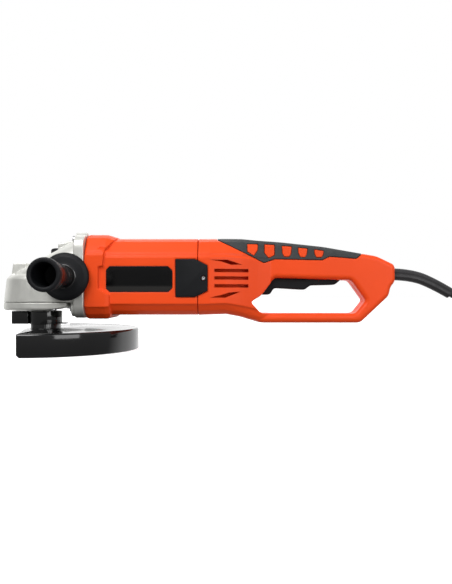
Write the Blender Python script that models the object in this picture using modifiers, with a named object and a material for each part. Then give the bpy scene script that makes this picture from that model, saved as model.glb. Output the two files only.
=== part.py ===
"""Angle grinder of the 230 mm class with a D-shaped rear handle, as separate pieces.

Frame: +X from the gear head to the cord, +Z up, and -Y to the side that the side handle is
screwed into. The origin is the centre of the spindle's end face, on the spindle's axis.
All lengths are in metres.
"""
import math

import bmesh
import bpy
from mathutils import Matrix, Vector

# ---- driving dimensions ----
GAP = 0.0003            # clearance between touching pieces
RIM_Z = -0.003          # lower edge of the guard, on which the tool stands
MOTOR_Z = 0.090         # height of the motor's axis
GUARD_R = 0.120
GUARD_TOP = 0.0236      # upper face of the guard's plate
GUARD_SHEET = 0.0020
NECK_R = 0.0175         # the spigot of the gear cover that carries the guard
NECK_BOTTOM = 0.026
COVER_BOTTOM = 0.048
COVER_TOP = 0.0574
FLANGE_FRONT = 0.0480   # the flange between the gear case and the motor
FLANGE_BACK = 0.0605
HOUSING_FRONT = 0.0610
HOUSING_BACK = 0.1995
BARREL_W = 0.046        # half width and half height of the motor barrel
BARREL_H = 0.048
COLLAR_W = 0.050
COLLAR_H = 0.053
MOTOR_BORE = 0.0415
CROWN_TEETH = 39
PINION_TEETH = 10
MESH_OUTER = 0.036      # outer and inner radius of the crown gear's teeth
MESH_INNER = 0.025
CONE = math.atan(PINION_TEETH / CROWN_TEETH)
GRIP_W = 0.019          # half width of the rear handle's grip
SHELL = 0.0042          # wall of the rear handle
SIDE_X = 0.0395         # axis of the side handle
SIDE_Z = 0.0893
BOSS_Y = 0.0525          # face of the two side-handle bosses
BRUSH_X = 0.183
TRIGGER_PIVOT = (0.3784, 0.0, 0.0902)
LOCK_X = 0.0155         # axis of the spindle lock
LOCK_HOLES = 16
CASE_SEAT = 0.0470      # seat of the screws that hold the gear case to the motor
CORD_R = 0.00425
COIL_CENTRE = (0.625, 0.055)
COIL_MEAN = 0.0468      # mean radius of the coiled cord
COIL_LAYERS = 3
TAIL_END = 50           # angle around the coil, in degrees, at which its tail runs into the plug

# rear handle, side view (x, z)
HANDLE_OUTLINE = [
    (0.2003, 0.1378), (0.2230, 0.1385), (0.2615, 0.1376), (0.3048, 0.1345), (0.3593, 0.1286),
    (0.4085, 0.1200), (0.4276, 0.1168), (0.4492, 0.1064), (0.4513, 0.1025), (0.4513, 0.0838),
    (0.4458, 0.0775), (0.4433, 0.0657), (0.4069, 0.0312), (0.2792, 0.0312), (0.2390, 0.0430),
    (0.2003, 0.0418)]
HAND_OPENING = [
    (0.2969, 0.0887), (0.3951, 0.0858), (0.4138, 0.0598), (0.4006, 0.0435), (0.2796, 0.0435),
    (0.2659, 0.0580), (0.2796, 0.0664)]
INSERT_OUTLINE = [
    (0.2237, 0.1398), (0.2247, 0.1361), (0.2831, 0.1079), (0.2974, 0.1128), (0.3578, 0.1115),
    (0.3667, 0.1160), (0.4010, 0.1133), (0.4087, 0.1200), (0.4118, 0.1251), (0.3676, 0.1437)]
INSERT_WINDOWS = [
    [(0.2615, 0.1320), (0.2758, 0.1320), (0.2758, 0.1241), (0.2702, 0.1160), (0.2615, 0.1213)],
    [(0.2836, 0.1315), (0.2971, 0.1312), (0.2971, 0.1174), (0.2890, 0.1135), (0.2836, 0.1204)],
    [(0.3057, 0.1300), (0.3190, 0.1288), (0.3180, 0.1187), (0.3156, 0.1151), (0.3087, 0.1153),
     (0.3065, 0.1202)],
    [(0.3264, 0.1277), (0.3393, 0.1263), (0.3382, 0.1184), (0.3357, 0.1147), (0.3295, 0.1150),
     (0.3269, 0.1202)],
    [(0.3470, 0.1253), (0.3600, 0.1233), (0.3588, 0.1172), (0.3560, 0.1143), (0.3500, 0.1145),
     (0.3475, 0.1192)]]
TRIGGER_OUTLINE = [
    (0.2798, 0.0671), (0.2915, 0.0673), (0.2967, 0.0758), (0.3366, 0.0734), (0.3431, 0.0791),
    (0.3752, 0.0799), (0.3824, 0.0860), (0.3839, 0.0902), (0.3824, 0.0951), (0.3038, 0.0961),
    (0.2949, 0.0897), (0.2882, 0.0817)]
TRIGGER_SLOT = [
    (0.2733, 0.0602), (0.2939, 0.0602), (0.3873, 0.0799), (0.3873, 0.0981), (0.3775, 0.1035),
    (0.2939, 0.1056), (0.2851, 0.0956), (0.2782, 0.0828)]
COVER_OUTLINE = [
    (0.1728, 0.1112), (0.1968, 0.1112), (0.2122, 0.1035), (0.2122, 0.0722), (0.1965, 0.0645),
    (0.1728, 0.0645)]
COVER_SCREW = (0.2070, 0.0876)
VENTS = [
    [(0.2153, 0.1106), (0.2370, 0.1106), (0.2552, 0.1048), (0.2410, 0.1046), (0.2290, 0.1085)],
    [(0.2147, 0.0638), (0.2341, 0.0637), (0.2530, 0.0712), (0.2390, 0.0702), (0.2290, 0.0672)]]
VENT_SLOTS = (0.0973, 0.0881, 0.0783)
PLATE_OUTLINE = [
    (0.0873, 0.0980), (0.0916, 0.1025), (0.1635, 0.1025), (0.1690, 0.0972), (0.1690, 0.0760),
    (0.1640, 0.0708), (0.0916, 0.0708), (0.0873, 0.0750)]
SLEEVE_ROUTE = [
    (0.4426, 0.0, 0.0937), (0.4590, 0.0, 0.0935), (0.4740, 0.0, 0.0918), (0.4880, 0.0, 0.0885),
    (0.5010, 0.0, 0.0830), (0.5140, 0.0, 0.0764), (0.5268, 0.0, 0.0692)]
CORD_ROUTE = [
    (0.5272, 0.0, 0.0690), (0.5345, 0.0, 0.0648), (0.5420, 0.0, 0.0602), (0.5490, 0.0, 0.0550),
    (0.5555, 0.0, 0.0492), (0.5615, 0.0, 0.0430), (0.5672, 0.0, 0.0366), (0.5728, 0.0, 0.0300),
    (0.5787, 0.0, 0.0237), (0.5852, 0.0, 0.0178), (0.5925, 0.0, 0.0125)]

PARTS = "angle_grinder"
CUTTERS = "cutters"


# ---- scene and materials ----
def clear_scene():
    for old in list(bpy.data.objects):
        bpy.data.objects.remove(old, do_unlink=True)
    for name in (PARTS, CUTTERS):
        group = bpy.data.collections.new(name)
        bpy.context.scene.collection.children.link(group)


def material(name, colour, roughness, metallic=0.0):
    made = bpy.data.materials.new(name)
    made.use_nodes = True
    shader = made.node_tree.nodes["Principled BSDF"]
    shader.inputs["Base Color"].default_value = (*colour, 1.0)
    shader.inputs["Roughness"].default_value = roughness
    shader.inputs["Metallic"].default_value = metallic
    return made


FINISHES = {
    "orange_plastic": ((0.86, 0.115, 0.025), 0.35, 0.0),
    "black_plastic": ((0.012, 0.012, 0.013), 0.35, 0.0),
    "grey_rubber": ((0.045, 0.050, 0.052), 0.65, 0.0),
    "cast_aluminium": ((0.56, 0.56, 0.53), 0.42, 1.0),
    "black_paint": ((0.010, 0.010, 0.011), 0.18, 0.0),
    "steel": ((0.55, 0.55, 0.56), 0.30, 1.0),
    "dark_steel": ((0.20, 0.20, 0.21), 0.45, 1.0),
    "copper": ((0.72, 0.30, 0.15), 0.30, 1.0),
    "brass": ((0.70, 0.52, 0.22), 0.30, 1.0),
    "carbon": ((0.03, 0.03, 0.03), 0.7, 0.0),
    "white_plastic": ((0.75, 0.75, 0.72), 0.5, 0.0),
    "cord_rubber": ((0.02, 0.02, 0.022), 0.6, 0.0),
}


def finish(piece, name):
    piece.data.materials.clear()
    piece.data.materials.append(material(f"{piece.name}_{name}", *FINISHES[name]))
    return piece


# ---- shapes ----
def from_bmesh(name, bm):
    mesh = bpy.data.meshes.new(name)
    bm.normal_update()
    bm.to_mesh(mesh)
    bm.free()
    piece = bpy.data.objects.new(name, mesh)
    bpy.data.collections[PARTS].objects.link(piece)
    mesh.shade_smooth()
    mesh.set_sharp_from_angle(angle=math.radians(35))
    return piece


def rod(name, start, end, radius, segments=24):
    """A cylinder from start to end."""
    start, end = Vector(start), Vector(end)
    along = end - start
    bm = bmesh.new()
    bmesh.ops.create_cone(bm, cap_ends=True, segments=segments, radius1=radius, radius2=radius,
                          depth=along.length)
    turn = Vector((0, 0, 1)).rotation_difference(along).to_matrix().to_4x4()
    bm.transform(Matrix.Translation((start + end) / 2) @ turn)
    return from_bmesh(name, bm)


def block(name, low, high, bevel=0.0):
    low, high = Vector(low), Vector(high)
    bm = bmesh.new()
    bmesh.ops.create_cube(bm, size=1.0)
    size = Matrix.Diagonal((*(high - low), 1.0))
    bm.transform(Matrix.Translation((low + high) / 2) @ size)
    if bevel:
        bmesh.ops.bevel(bm, geom=bm.edges[:], offset=bevel, segments=1, affect="EDGES")
    return from_bmesh(name, bm)


def turned(name, profile, axis="Z", at=(0, 0, 0), steps=48, ring=False):
    """A turned piece: (radius, height) points, down the outer side from top to bottom."""
    bm = bmesh.new()
    points = [bm.verts.new((radius, 0, height)) for radius, height in profile]
    for first, second in zip(points, points[1:]):
        bm.edges.new((first, second))
    if ring:
        bm.edges.new((points[-1], points[0]))
    piece = from_bmesh(name, bm)
    screw = piece.modifiers.new("turn", "SCREW")
    screw.steps = steps
    screw.render_steps = steps
    screw.use_merge_vertices = True
    screw.merge_threshold = 0.00001
    turns = {"Z": Matrix.Identity(4), "X": Matrix.Rotation(math.radians(90), 4, "Y"),
             "Y": Matrix.Rotation(math.radians(-90), 4, "X")}
    piece.matrix_world = Matrix.Translation(at) @ turns[axis]
    return piece


def to_mesh(curve_object):
    """The curve object as a closed mesh, in the same place."""
    bpy.context.view_layer.update()
    seen = curve_object.evaluated_get(bpy.context.evaluated_depsgraph_get())
    mesh = bpy.data.meshes.new_from_object(seen)
    bm = bmesh.new()
    bm.from_mesh(mesh)
    bmesh.ops.remove_doubles(bm, verts=bm.verts[:], dist=0.000005)
    bmesh.ops.recalc_face_normals(bm, faces=bm.faces[:])
    bm.transform(curve_object.matrix_world)
    name = curve_object.name
    bpy.data.objects.remove(curve_object, do_unlink=True)
    return from_bmesh(name, bm)


PLANES = {"XZ": Matrix(((1, 0, 0, 0), (0, 0, -1, 0), (0, 1, 0, 0), (0, 0, 0, 1))),
          "XY": Matrix.Identity(4),
          "YZ": Matrix(((0, 0, 1, 0), (1, 0, 0, 0), (0, 1, 0, 0), (0, 0, 0, 1)))}


def slab(name, outlines, low, high, plane="XZ", bevel=0.0, bevel_steps=2):
    """A flat outline with holes, from low to high across its plane, with rounded edges."""
    curve = bpy.data.curves.new(name, "CURVE")
    curve.dimensions = "2D"
    curve.fill_mode = "BOTH"
    for points in outlines:
        spline = curve.splines.new("POLY")
        spline.points.add(len(points) - 1)
        for spot, (u, v) in zip(spline.points, points):
            spot.co = (u, v, 0, 1)
        spline.use_cyclic_u = True
    curve.extrude = abs(high - low) / 2 - bevel
    if bevel:
        curve.bevel_depth = bevel
        curve.bevel_resolution = bevel_steps - 1
        curve.offset = -bevel
    piece = bpy.data.objects.new(name, curve)
    bpy.data.collections[PARTS].objects.link(piece)
    across = PLANES[plane].to_3x3() @ Vector((0, 0, 1))
    middle = across * (low + high) / 2 * (1 if plane != "XZ" else -1)
    piece.matrix_world = Matrix.Translation(middle) @ PLANES[plane]
    return to_mesh(piece)


def tube(name, route, radius, end_scale=1.0, resolution=3):
    """A round tube along route, tapering to end_scale times its radius."""
    curve = bpy.data.curves.new(name, "CURVE")
    curve.dimensions = "3D"
    curve.bevel_depth = radius
    curve.bevel_resolution = resolution
    curve.use_fill_caps = True
    spline = curve.splines.new("POLY")
    spline.points.add(len(route) - 1)
    for number, (spot, place) in enumerate(zip(spline.points, route)):
        spot.co = (*place, 1)
        spot.radius = 1 + (end_scale - 1) * number / (len(route) - 1)
    piece = bpy.data.objects.new(name, curve)
    bpy.data.collections[PARTS].objects.link(piece)
    return to_mesh(piece)


def loft(name, stations):
    """A closed skin through rings of points that all have the same count."""
    bm = bmesh.new()
    rings = [[bm.verts.new(point) for point in ring] for ring in stations]
    for ring, following in zip(rings, rings[1:]):
        count = len(ring)
        for number in range(count):
            after = (number + 1) % count
            bm.faces.new((ring[number], ring[after], following[after], following[number]))
    bm.faces.new(rings[0][::-1])
    bm.faces.new(rings[-1])
    bmesh.ops.recalc_face_normals(bm, faces=bm.faces[:])
    # twisted quads get the same diagonal at every inset, so nested forms stay parallel
    bmesh.ops.triangulate(bm, faces=bm.faces[:], quad_method="FIXED")
    return from_bmesh(name, bm)


def use(piece, tool, operation):
    """Boolean of piece with tool, which becomes a hidden cutter."""
    step = piece.modifiers.new(tool.name, "BOOLEAN")
    step.operation = operation
    step.solver = piece.get("solver", "EXACT")
    step.object = tool
    if bpy.data.collections[CUTTERS] not in tool.users_collection:
        tool.hide_render = True
        tool.display_type = "WIRE"
        bpy.data.collections[PARTS].objects.unlink(tool)
        bpy.data.collections[CUTTERS].objects.link(tool)
    return piece


def cut(piece, *tools):
    for tool in tools:
        use(piece, tool, "DIFFERENCE")
    return piece


def join(piece, *tools):
    for tool in tools:
        use(piece, tool, "UNION")
    return piece


def keep(piece, tool):
    return use(piece, tool, "INTERSECT")


def inset(points, distance):
    """The closed outline moved inward by distance, or outward if it is negative."""
    area = sum(a[0] * b[1] - b[0] * a[1] for a, b in zip(points, points[1:] + points[:1]))
    side = 1 if area > 0 else -1
    moved = []
    for before, here, after in zip(points[-1:] + points[:-1], points, points[1:] + points[:1]):
        first = (Vector(here) - Vector(before)).normalized()
        second = (Vector(after) - Vector(here)).normalized()
        normal_1 = Vector((-first.y, first.x)) * side
        normal_2 = Vector((-second.y, second.x)) * side
        middle = (normal_1 + normal_2).normalized()
        moved.append(tuple(Vector(here) + middle * distance / max(0.35, middle.dot(normal_1))))
    return moved


def arc(centre, radius, start, end, count):
    """Points on an arc, angles in degrees, both ends included."""
    return [(centre[0] + radius * math.cos(math.radians(start + (end - start) * n / (count - 1))),
             centre[1] + radius * math.sin(math.radians(start + (end - start) * n / (count - 1))))
            for n in range(count)]


def body_ring(x, width, low, high, inward=0.0):
    """One section of the plastic body: flat sides, a narrower top and a slightly narrower bottom."""
    width -= inward
    low += inward
    high -= inward
    tall = high - low
    side_low, side_high = low + 0.15 * tall, high - 0.24 * tall
    top_y, bottom_y = 0.60 * width, 0.74 * width
    corner = 0.22
    half = [(0.0, low), (bottom_y * 0.8, low), (bottom_y, low + corner * (side_low - low)),
            (width * 0.985, side_low * 0.8 + low * 0.2), (width, side_low + 0.05 * tall),
            (width, side_high - 0.06 * tall), (width * 0.965, side_high * 0.8 + high * 0.2),
            (top_y, high - corner * (high - side_high)), (top_y * 0.72, high), (0.0, high)]
    ring = [(x, y, z) for y, z in half]
    return ring + [(x, -y, z) for y, z in half[-2:0:-1]]


# ---- gear head ----
def head_plan(inward=0.0, back=FLANGE_FRONT):
    """Plan outline of the gear head: a round nose and straight sides to the flange."""
    nose = arc((-0.006, 0.0), 0.047 - inward, -90, -270, 17)
    return [(back, -0.047 + inward)] + nose + [(back, 0.047 - inward)]


def head_ring(x, width, low, high):
    middle = (low + high) / 2
    tall = (high - low) / 2
    ring = []
    for number in range(20):
        angle = 2 * math.pi * number / 20
        ring.append((x, width * math.copysign(abs(math.cos(angle)) ** 0.7, math.cos(angle)),
                     middle + tall * math.copysign(abs(math.sin(angle)) ** 0.7, math.sin(angle))))
    return ring


def flange_outline(half, corner):
    """A square with rounded corners around the motor's axis, in (y, z)."""
    points = []
    for number, (y, z) in enumerate(((1, 1), (-1, 1), (-1, -1), (1, -1))):
        centre = (y * (half - corner), MOTOR_Z + z * (half - corner))
        points += arc(centre, corner, 90 * number, 90 * number + 90, 5)
    return points


CASE_SCREWS = [(-0.0245, 0.1372), (0.0245, 0.1372), (-0.0385, 0.0510), (0.0385, 0.0510)]
COVER_SCREWS = [(-0.0355, -0.0285), (-0.0355, 0.0285), (0.0210, -0.0400), (0.0210, 0.0400)]


def gear_case():
    case = slab("gear_case", [head_plan(0.0, FLANGE_FRONT + 0.0010)], 0.0440, 0.0930, "XY", 0.006, 3)
    cone = loft("case_cone", [head_ring(-0.034, 0.026, 0.062, 0.0965),
                              head_ring(-0.018, 0.036, 0.062, 0.1050),
                              head_ring(0.004, 0.042, 0.062, 0.1165),
                              head_ring(0.022, 0.0455, 0.060, 0.1260),
                              head_ring(0.0375, 0.0480, 0.056, 0.1335),
                              head_ring(0.0495, 0.0490, 0.052, 0.1385)])
    ridge = slab("case_ridge", [[(0.0205, 0.1100), (0.0205, 0.1325), (0.0415, 0.1376), (0.0520, 0.1376),
                                 (0.0520, 0.1100)]], -0.0190, 0.0190, "XZ", 0.0015, 1)
    flange = slab("case_flange", [flange_outline(0.0515, 0.016)], FLANGE_FRONT, FLANGE_BACK, "YZ")
    join(case, cone, ridge, flange)
    join(case, block("case_top_lug", (-0.0410, -0.011, 0.085), (-0.0235, 0.011, 0.1078), 0.002))
    for side in (-1, 1):
        join(case, rod(f"case_boss_{side}", (SIDE_X, side * 0.030, SIDE_Z),
                       (SIDE_X, side * BOSS_Y, SIDE_Z), 0.0165, 20))
    # everything below the joint with the gear cover is cut away, then come the lugs and hollows
    cut(case, block("case_seam", (-0.08, -0.08, 0.02), (FLANGE_FRONT - 0.0002, 0.08, COVER_TOP + GAP)))
    for number, (y, z) in enumerate(CASE_SCREWS):
        front, radius = (0.0468, 0.0085) if z > MOTOR_Z else (0.0445, 0.0105)
        join(case, rod(f"case_lug_{number}", (front, y, z), (FLANGE_BACK, y, z), radius, 16))
    cut(case, block("case_back", (FLANGE_BACK, -0.080, 0.0), (0.090, 0.080, 0.2)))
    cut(case, rod("case_gear_room", (0, 0, 0.050), (0, 0, 0.0895), 0.0410, 28))
    cut(case, rod("case_pinion_room", (0.002, 0, MOTOR_Z), (0.0385, 0, MOTOR_Z), 0.0195, 20))
    cut(case, rod("case_bearing_seat", (0.0380, 0, MOTOR_Z), (0.0700, 0, MOTOR_Z), 0.0165, 24))
    cut(case, rod("case_fan_room", (0.0500, 0, MOTOR_Z), (0.0700, 0, MOTOR_Z), MOTOR_BORE, 32))
    cut(case, rod("case_top_seat", (0, 0, 0.080), (0, 0, 0.1045), 0.0080, 16))
    cut(case, rod("case_lock_bore", (LOCK_X, 0, 0.095), (LOCK_X, 0, 0.140), 0.0026, 14))
    cut(case, rod("case_lock_recess", (LOCK_X, 0, 0.1130), (LOCK_X, 0, 0.150), 0.0093, 20))
    for side in (-1, 1):
        cut(case, rod(f"case_thread_{side}", (SIDE_X, side * 0.0360, SIDE_Z),
                      (SIDE_X, side * 0.060, SIDE_Z), 0.0072, 16))
    for number, (y, z) in enumerate(CASE_SCREWS):
        cut(case, rod(f"case_screw_hole_{number}", (0.020, y, z), (0.070, y, z), 0.0029, 8))
        cut(case, rod(f"case_screw_recess_{number}", (0.020, y, z), (CASE_SEAT, y, z), 0.0056, 12))
    for number, (x, y) in enumerate(COVER_SCREWS):
        cut(case, rod(f"case_cover_hole_{number}", (x, y, 0.050), (x, y, 0.0720), 0.0026, 8))
    return finish(case, "cast_aluminium")


def gear_cover():
    plan = head_plan(0.0004, FLANGE_FRONT - 0.0008)
    cover = slab("gear_cover", [plan], COVER_BOTTOM, 0.070, "XY", 0.0035, 2)
    neck = rod("cover_neck", (0, 0, NECK_BOTTOM), (0, 0, 0.052), NECK_R, 28)
    join(cover, neck)
    cut(cover, block("cover_seam", (-0.09, -0.09, COVER_TOP), (0.09, 0.09, 0.090)))
    cut(cover, rod("cover_bore", (0, 0, 0.010), (0, 0, 0.070), 0.0115, 20))
    cut(cover, rod("cover_seat", (0, 0, 0.0487), (0, 0, 0.070), 0.0205, 24))
    # the underside rises toward the motor
    rise = [[(x, y, z) for y, z in ((-0.06, 0.0470), (0.06, 0.0470), (0.06, high), (-0.06, high))]
            for x, high in ((0.010, 0.0479), (0.052, 0.0543))]
    cut(cover, loft("cover_rise", rise))
    for number, (y, z) in enumerate(CASE_SCREWS[2:]):
        cut(cover, rod(f"cover_notch_{number}", (0.0385, y, z), (0.0500, y, z), 0.0110, 16))
    for number, (x, y) in enumerate(COVER_SCREWS):
        cut(cover, rod(f"cover_hole_{number}", (x, y, 0.040), (x, y, 0.070), 0.0026, 8))
        cut(cover, rod(f"cover_recess_{number}", (x, y, 0.040), (x, y, 0.0520), 0.0045, 12))
    return finish(cover, "cast_aluminium")


def cap_screw(name, axis, at, head_r, head_h, shank_r, shank_h):
    """A socket-head screw: at is the seat of its head, and its shank runs along +axis."""
    socket = head_r * 0.5
    profile = [(0, shank_h), (shank_r, shank_h), (shank_r, 0), (head_r, 0), (head_r, -head_h * 0.9),
               (head_r * 0.92, -head_h), (socket, -head_h), (socket, -head_h * 0.45), (0, -head_h * 0.45)]
    return finish(turned(name, profile, axis, at, 10), "steel")


def head_screws():
    for number, (x, y) in enumerate(COVER_SCREWS):
        cap_screw(f"gear_cover_screw_{number + 1}", "Z", (x, y, 0.0520 - GAP),
                  0.0040, 0.0036, 0.0021, 0.0190)
    for number, (y, z) in enumerate(CASE_SCREWS):
        cap_screw(f"gear_case_screw_{number + 1}", "X", (CASE_SEAT - GAP, y, z),
                  0.0048, 0.0050, 0.0024, 0.0330)


def spindle_lock():
    button = turned("spindle_lock_button", [(0, 0.1275), (0.0072, 0.1275), (0.0087, 0.1262),
                                            (0.0087, 0.1180), (0.0070, 0.1180), (0.0070, 0.1232),
                                            (0.0023, 0.1232), (0.0023, 0.1245), (0, 0.1245)], "Z",
                    (LOCK_X, 0, 0), 20)
    finish(button, "black_plastic")
    pin = turned("spindle_lock_pin", [(0, 0.1242), (0.0020, 0.1242), (0.0020, 0.0805), (0.0015, 0.0795),
                                      (0, 0.0795)], "Z", (LOCK_X, 0, 0), 14)
    finish(pin, "steel")
    turns = 4
    route = []
    for number in range(turns * 8 + 1):
        angle = 2 * math.pi * number / 8
        route.append((LOCK_X + 0.0050 * math.cos(angle), 0.0050 * math.sin(angle),
                      0.1137 + 0.0087 * number / (turns * 8)))
    finish(tube("spindle_lock_spring", route, 0.00045, 1.0, 1), "steel")


# ---- gear train and spindle ----
def crown_gear():
    def pitch_z(radius):
        return MOTOR_Z - radius * math.tan(CONE)

    depth = 0.0017
    base = turned("crown_gear", [(0.0078, 0.0775), (0.0225, 0.0775),
                                 (MESH_INNER - 0.0008, pitch_z(MESH_INNER) - depth),
                                 (MESH_OUTER + 0.0006, pitch_z(MESH_OUTER) - depth),
                                 (MESH_OUTER + 0.0006, 0.0715), (0.0300, 0.0690), (0.0078, 0.0690)], "Z",
                  (0, 0, 0), 39, True)
    bm = bmesh.new()
    for tooth in range(CROWN_TEETH):
        middle = 2 * math.pi * (tooth + 0.5) / CROWN_TEETH
        corners = []
        for radius in (MESH_INNER, MESH_OUTER):
            scale = radius / MESH_OUTER
            for half, rise in ((0.00150, -depth * 1.25), (0.00060, 0.0013)):
                for side in (-1, 1):
                    turn = middle + side * half * scale / radius
                    corners.append(bm.verts.new((radius * math.cos(turn), radius * math.sin(turn),
                                                 pitch_z(radius) + rise * scale)))
        bmesh.ops.convex_hull(bm, input=corners)
    join(base, from_bmesh("crown_teeth", bm))
    for number in range(LOCK_HOLES):
        angle = 2 * math.pi * number / LOCK_HOLES
        x, y = LOCK_X * math.cos(angle), LOCK_X * math.sin(angle)
        cut(base, rod(f"crown_lock_hole_{number}", (x, y, 0.060), (x, y, 0.090), 0.0026, 14))
    return finish(base, "dark_steel")


def pinion():
    outer = MESH_OUTER * math.tan(CONE)
    inner = MESH_INNER * math.tan(CONE)
    depth = 0.0017
    ratio = inner / outer
    base = turned("pinion", [(0.0040, MESH_INNER - 0.0006), (0.0040, MESH_OUTER + 0.0018),
                             (outer - depth, MESH_OUTER + 0.0018), (outer - depth, MESH_OUTER),
                             (inner - depth * ratio, MESH_INNER - 0.0006)][::-1], "X", (0, 0, MOTOR_Z),
                  20, True)
    bm = bmesh.new()
    for tooth in range(PINION_TEETH):
        middle = 2 * math.pi * tooth / PINION_TEETH
        corners = []
        for x, scale in ((MESH_INNER, ratio), (MESH_OUTER, 1.0)):
            for half, reach in ((0.00150, -depth * 1.2), (0.00060, 0.0013)):
                for side in (-1, 1):
                    radius = outer * scale + reach * scale
                    turn = middle + side * half * scale / radius
                    corners.append(bm.verts.new((x, radius * math.sin(turn),
                                                 MOTOR_Z - radius * math.cos(turn))))
        bmesh.ops.convex_hull(bm, input=corners)
    join(base, from_bmesh("pinion_teeth", bm))
    return finish(base, "steel")


def spindle_parts():
    profile = [(0, 0.1040), (0.0040, 0.1040), (0.0048, 0.1030), (0.0048, 0.0785), (0.0075, 0.0785),
               (0.0075, 0.0605), (0.0082, 0.0605), (0.0082, 0.0480), (0.0098, 0.0480), (0.0098, 0.0192),
               (0.0070, 0.0192), (0.0070, 0.0008), (0.0062, 0.0), (0, 0.0)]
    finish(turned("spindle", profile, steps=18), "steel")
    finish(turned("spindle_bearing", [(0.0085, 0.0600), (0.0200, 0.0600), (0.0200, 0.0490),
                                      (0.0112, 0.0490), (0.0112, 0.0485), (0.0101, 0.0485),
                                      (0.0085, 0.0488)], steps=20, ring=True), "steel")
    finish(turned("spindle_top_bearing", [(0.0051, 0.1036), (0.0075, 0.1036), (0.0075, 0.0920),
                                          (0.0051, 0.0920)], steps=16, ring=True), "brass")
    finish(turned("inner_flange", [(0.0073, 0.0189), (0.0150, 0.0189), (0.0210, 0.0172), (0.0210, 0.0126),
                                   (0.0110, 0.0126), (0.0110, 0.0109), (0.0073, 0.0109)], steps=24,
                  ring=True), "steel")
    nut = turned("clamp_nut", [(0.0073, 0.0075), (0.0115, 0.0075), (0.0115, 0.0092), (0.0210, 0.0092),
                               (0.0210, 0.0040), (0.0198, 0.0030), (0.0130, 0.0030), (0.0118, 0.0016),
                               (0.0073, 0.0016)], steps=24, ring=True)
    for number in range(4):
        angle = math.pi / 2 * number + math.pi / 4
        x, y = 0.0160 * math.cos(angle), 0.0160 * math.sin(angle)
        cut(nut, rod(f"nut_hole_{number}", (x, y, -0.004), (x, y, 0.0065), 0.0025, 8))
    finish(nut, "dark_steel")


# ---- guard ----
def guard():
    sheet = GUARD_SHEET
    collar_in, collar_out = NECK_R + GAP, NECK_R + GAP + 0.0014
    cup = turned("wheel_guard", [(collar_in, 0.0460), (collar_out, 0.0460), (collar_out, GUARD_TOP),
                                 (GUARD_R - 0.0040, GUARD_TOP), (GUARD_R - 0.0022, GUARD_TOP + 0.0006),
                                 (GUARD_R, GUARD_TOP - 0.0010), (GUARD_R, RIM_Z + 0.0010),
                                 (GUARD_R - 0.0008, RIM_Z), (GUARD_R - 0.0024, RIM_Z),
                                 (GUARD_R - sheet, RIM_Z + 0.0020),
                                 (GUARD_R - sheet, GUARD_TOP - sheet - 0.001),
                                 (GUARD_R - 0.0040, GUARD_TOP - sheet), (collar_in, GUARD_TOP - sheet)],
                 steps=48, ring=True)
    front = [(0.0015, -0.135), (0.0015, -0.1165)] + arc((0, 0), 0.0270, -150, -210, 7)
    front += [(0.0015, 0.1165), (0.0015, 0.135), (-0.14, 0.135), (-0.14, -0.135)]
    cut(cup, slab("guard_front", [front], -0.010, 0.0280, "XY"))
    for side in (-1, 1):
        wedge = ((-0.010, -0.010), (0.0052, -0.010), (0.0052, -0.0035), (-0.010, 0.0117))
        cut(cup, loft(f"guard_corner_{side}", [[(x, y, z) for x, z in wedge]
                                               for y in (side * 0.100, side * 0.130)]))
    finish(cup, "black_paint")

    band_in, band_out = collar_out + GAP, collar_out + GAP + 0.0014
    band = turned("guard_clamp_band", [(band_in, 0.0462), (band_out, 0.0462), (band_out, 0.0296),
                                       (band_in, 0.0296)], steps=28, ring=True)
    cut(band, block("band_slit", (-0.040, -0.0030, 0.020), (-0.010, 0.0030, 0.060)))
    for number, (low, high) in enumerate(((-0.0110, -0.0031), (0.0031, 0.0068))):
        join(band, block(f"band_ear_{number}", (-0.0412, low, 0.0296), (-0.0200, high, 0.0462)))
    join(band, block("band_tab", (0.0195, -0.0060, 0.0296), (0.0275, 0.0060, 0.0312)))
    # the bolt's thread is in the thick ear
    x, z = -0.0330, 0.0378
    cut(band, rod("band_bolt_hole", (x, -0.0095, z), (x, 0.020, z), 0.0029, 14))
    finish(band, "black_paint")
    bolt = rod("guard_clamp_bolt", (x, 0.0072, z), (x, 0.0112, z), 0.0048, 6)
    join(bolt, rod("bolt_shank", (x, -0.0090, z), (x, 0.0080, z), 0.0024, 12))
    finish(bolt, "dark_steel")


# ---- side handle ----
def side_handle():
    # heights run along -Y from the boss face
    near = BOSS_Y + GAP
    profile = [(0, near + 0.0230), (0.0072, near + 0.0230), (0.0072, near), (0.0240, near),
               (0.0290, near + 0.0020), (0.0290, near + 0.0062), (0.0245, near + 0.0085),
               (0.0135, near + 0.0095), (0.0118, near + 0.0150), (0.0125, near + 0.0250),
               (0.0150, near + 0.0440), (0.0168, near + 0.0640), (0.0172, near + 0.0800),
               (0.0187, near + 0.0850), (0.0189, near + 0.0900), (0.0178, near + 0.0925),
               (0.0140, near + 0.0925), (0.0133, near + 0.0915), (0.0125, near + 0.0450),
               (0, near + 0.0420)]
    grip = turned("side_handle_grip", [(radius, -reach) for radius, reach in profile], "Y",
                  (SIDE_X, 0, SIDE_Z), 24)
    finish(grip, "black_plastic")
    stud = rod("side_handle_stud", (SIDE_X, -0.0370, SIDE_Z), (SIDE_X, -near - 0.0225, SIDE_Z), 0.0068, 14)
    finish(stud, "steel")


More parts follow.
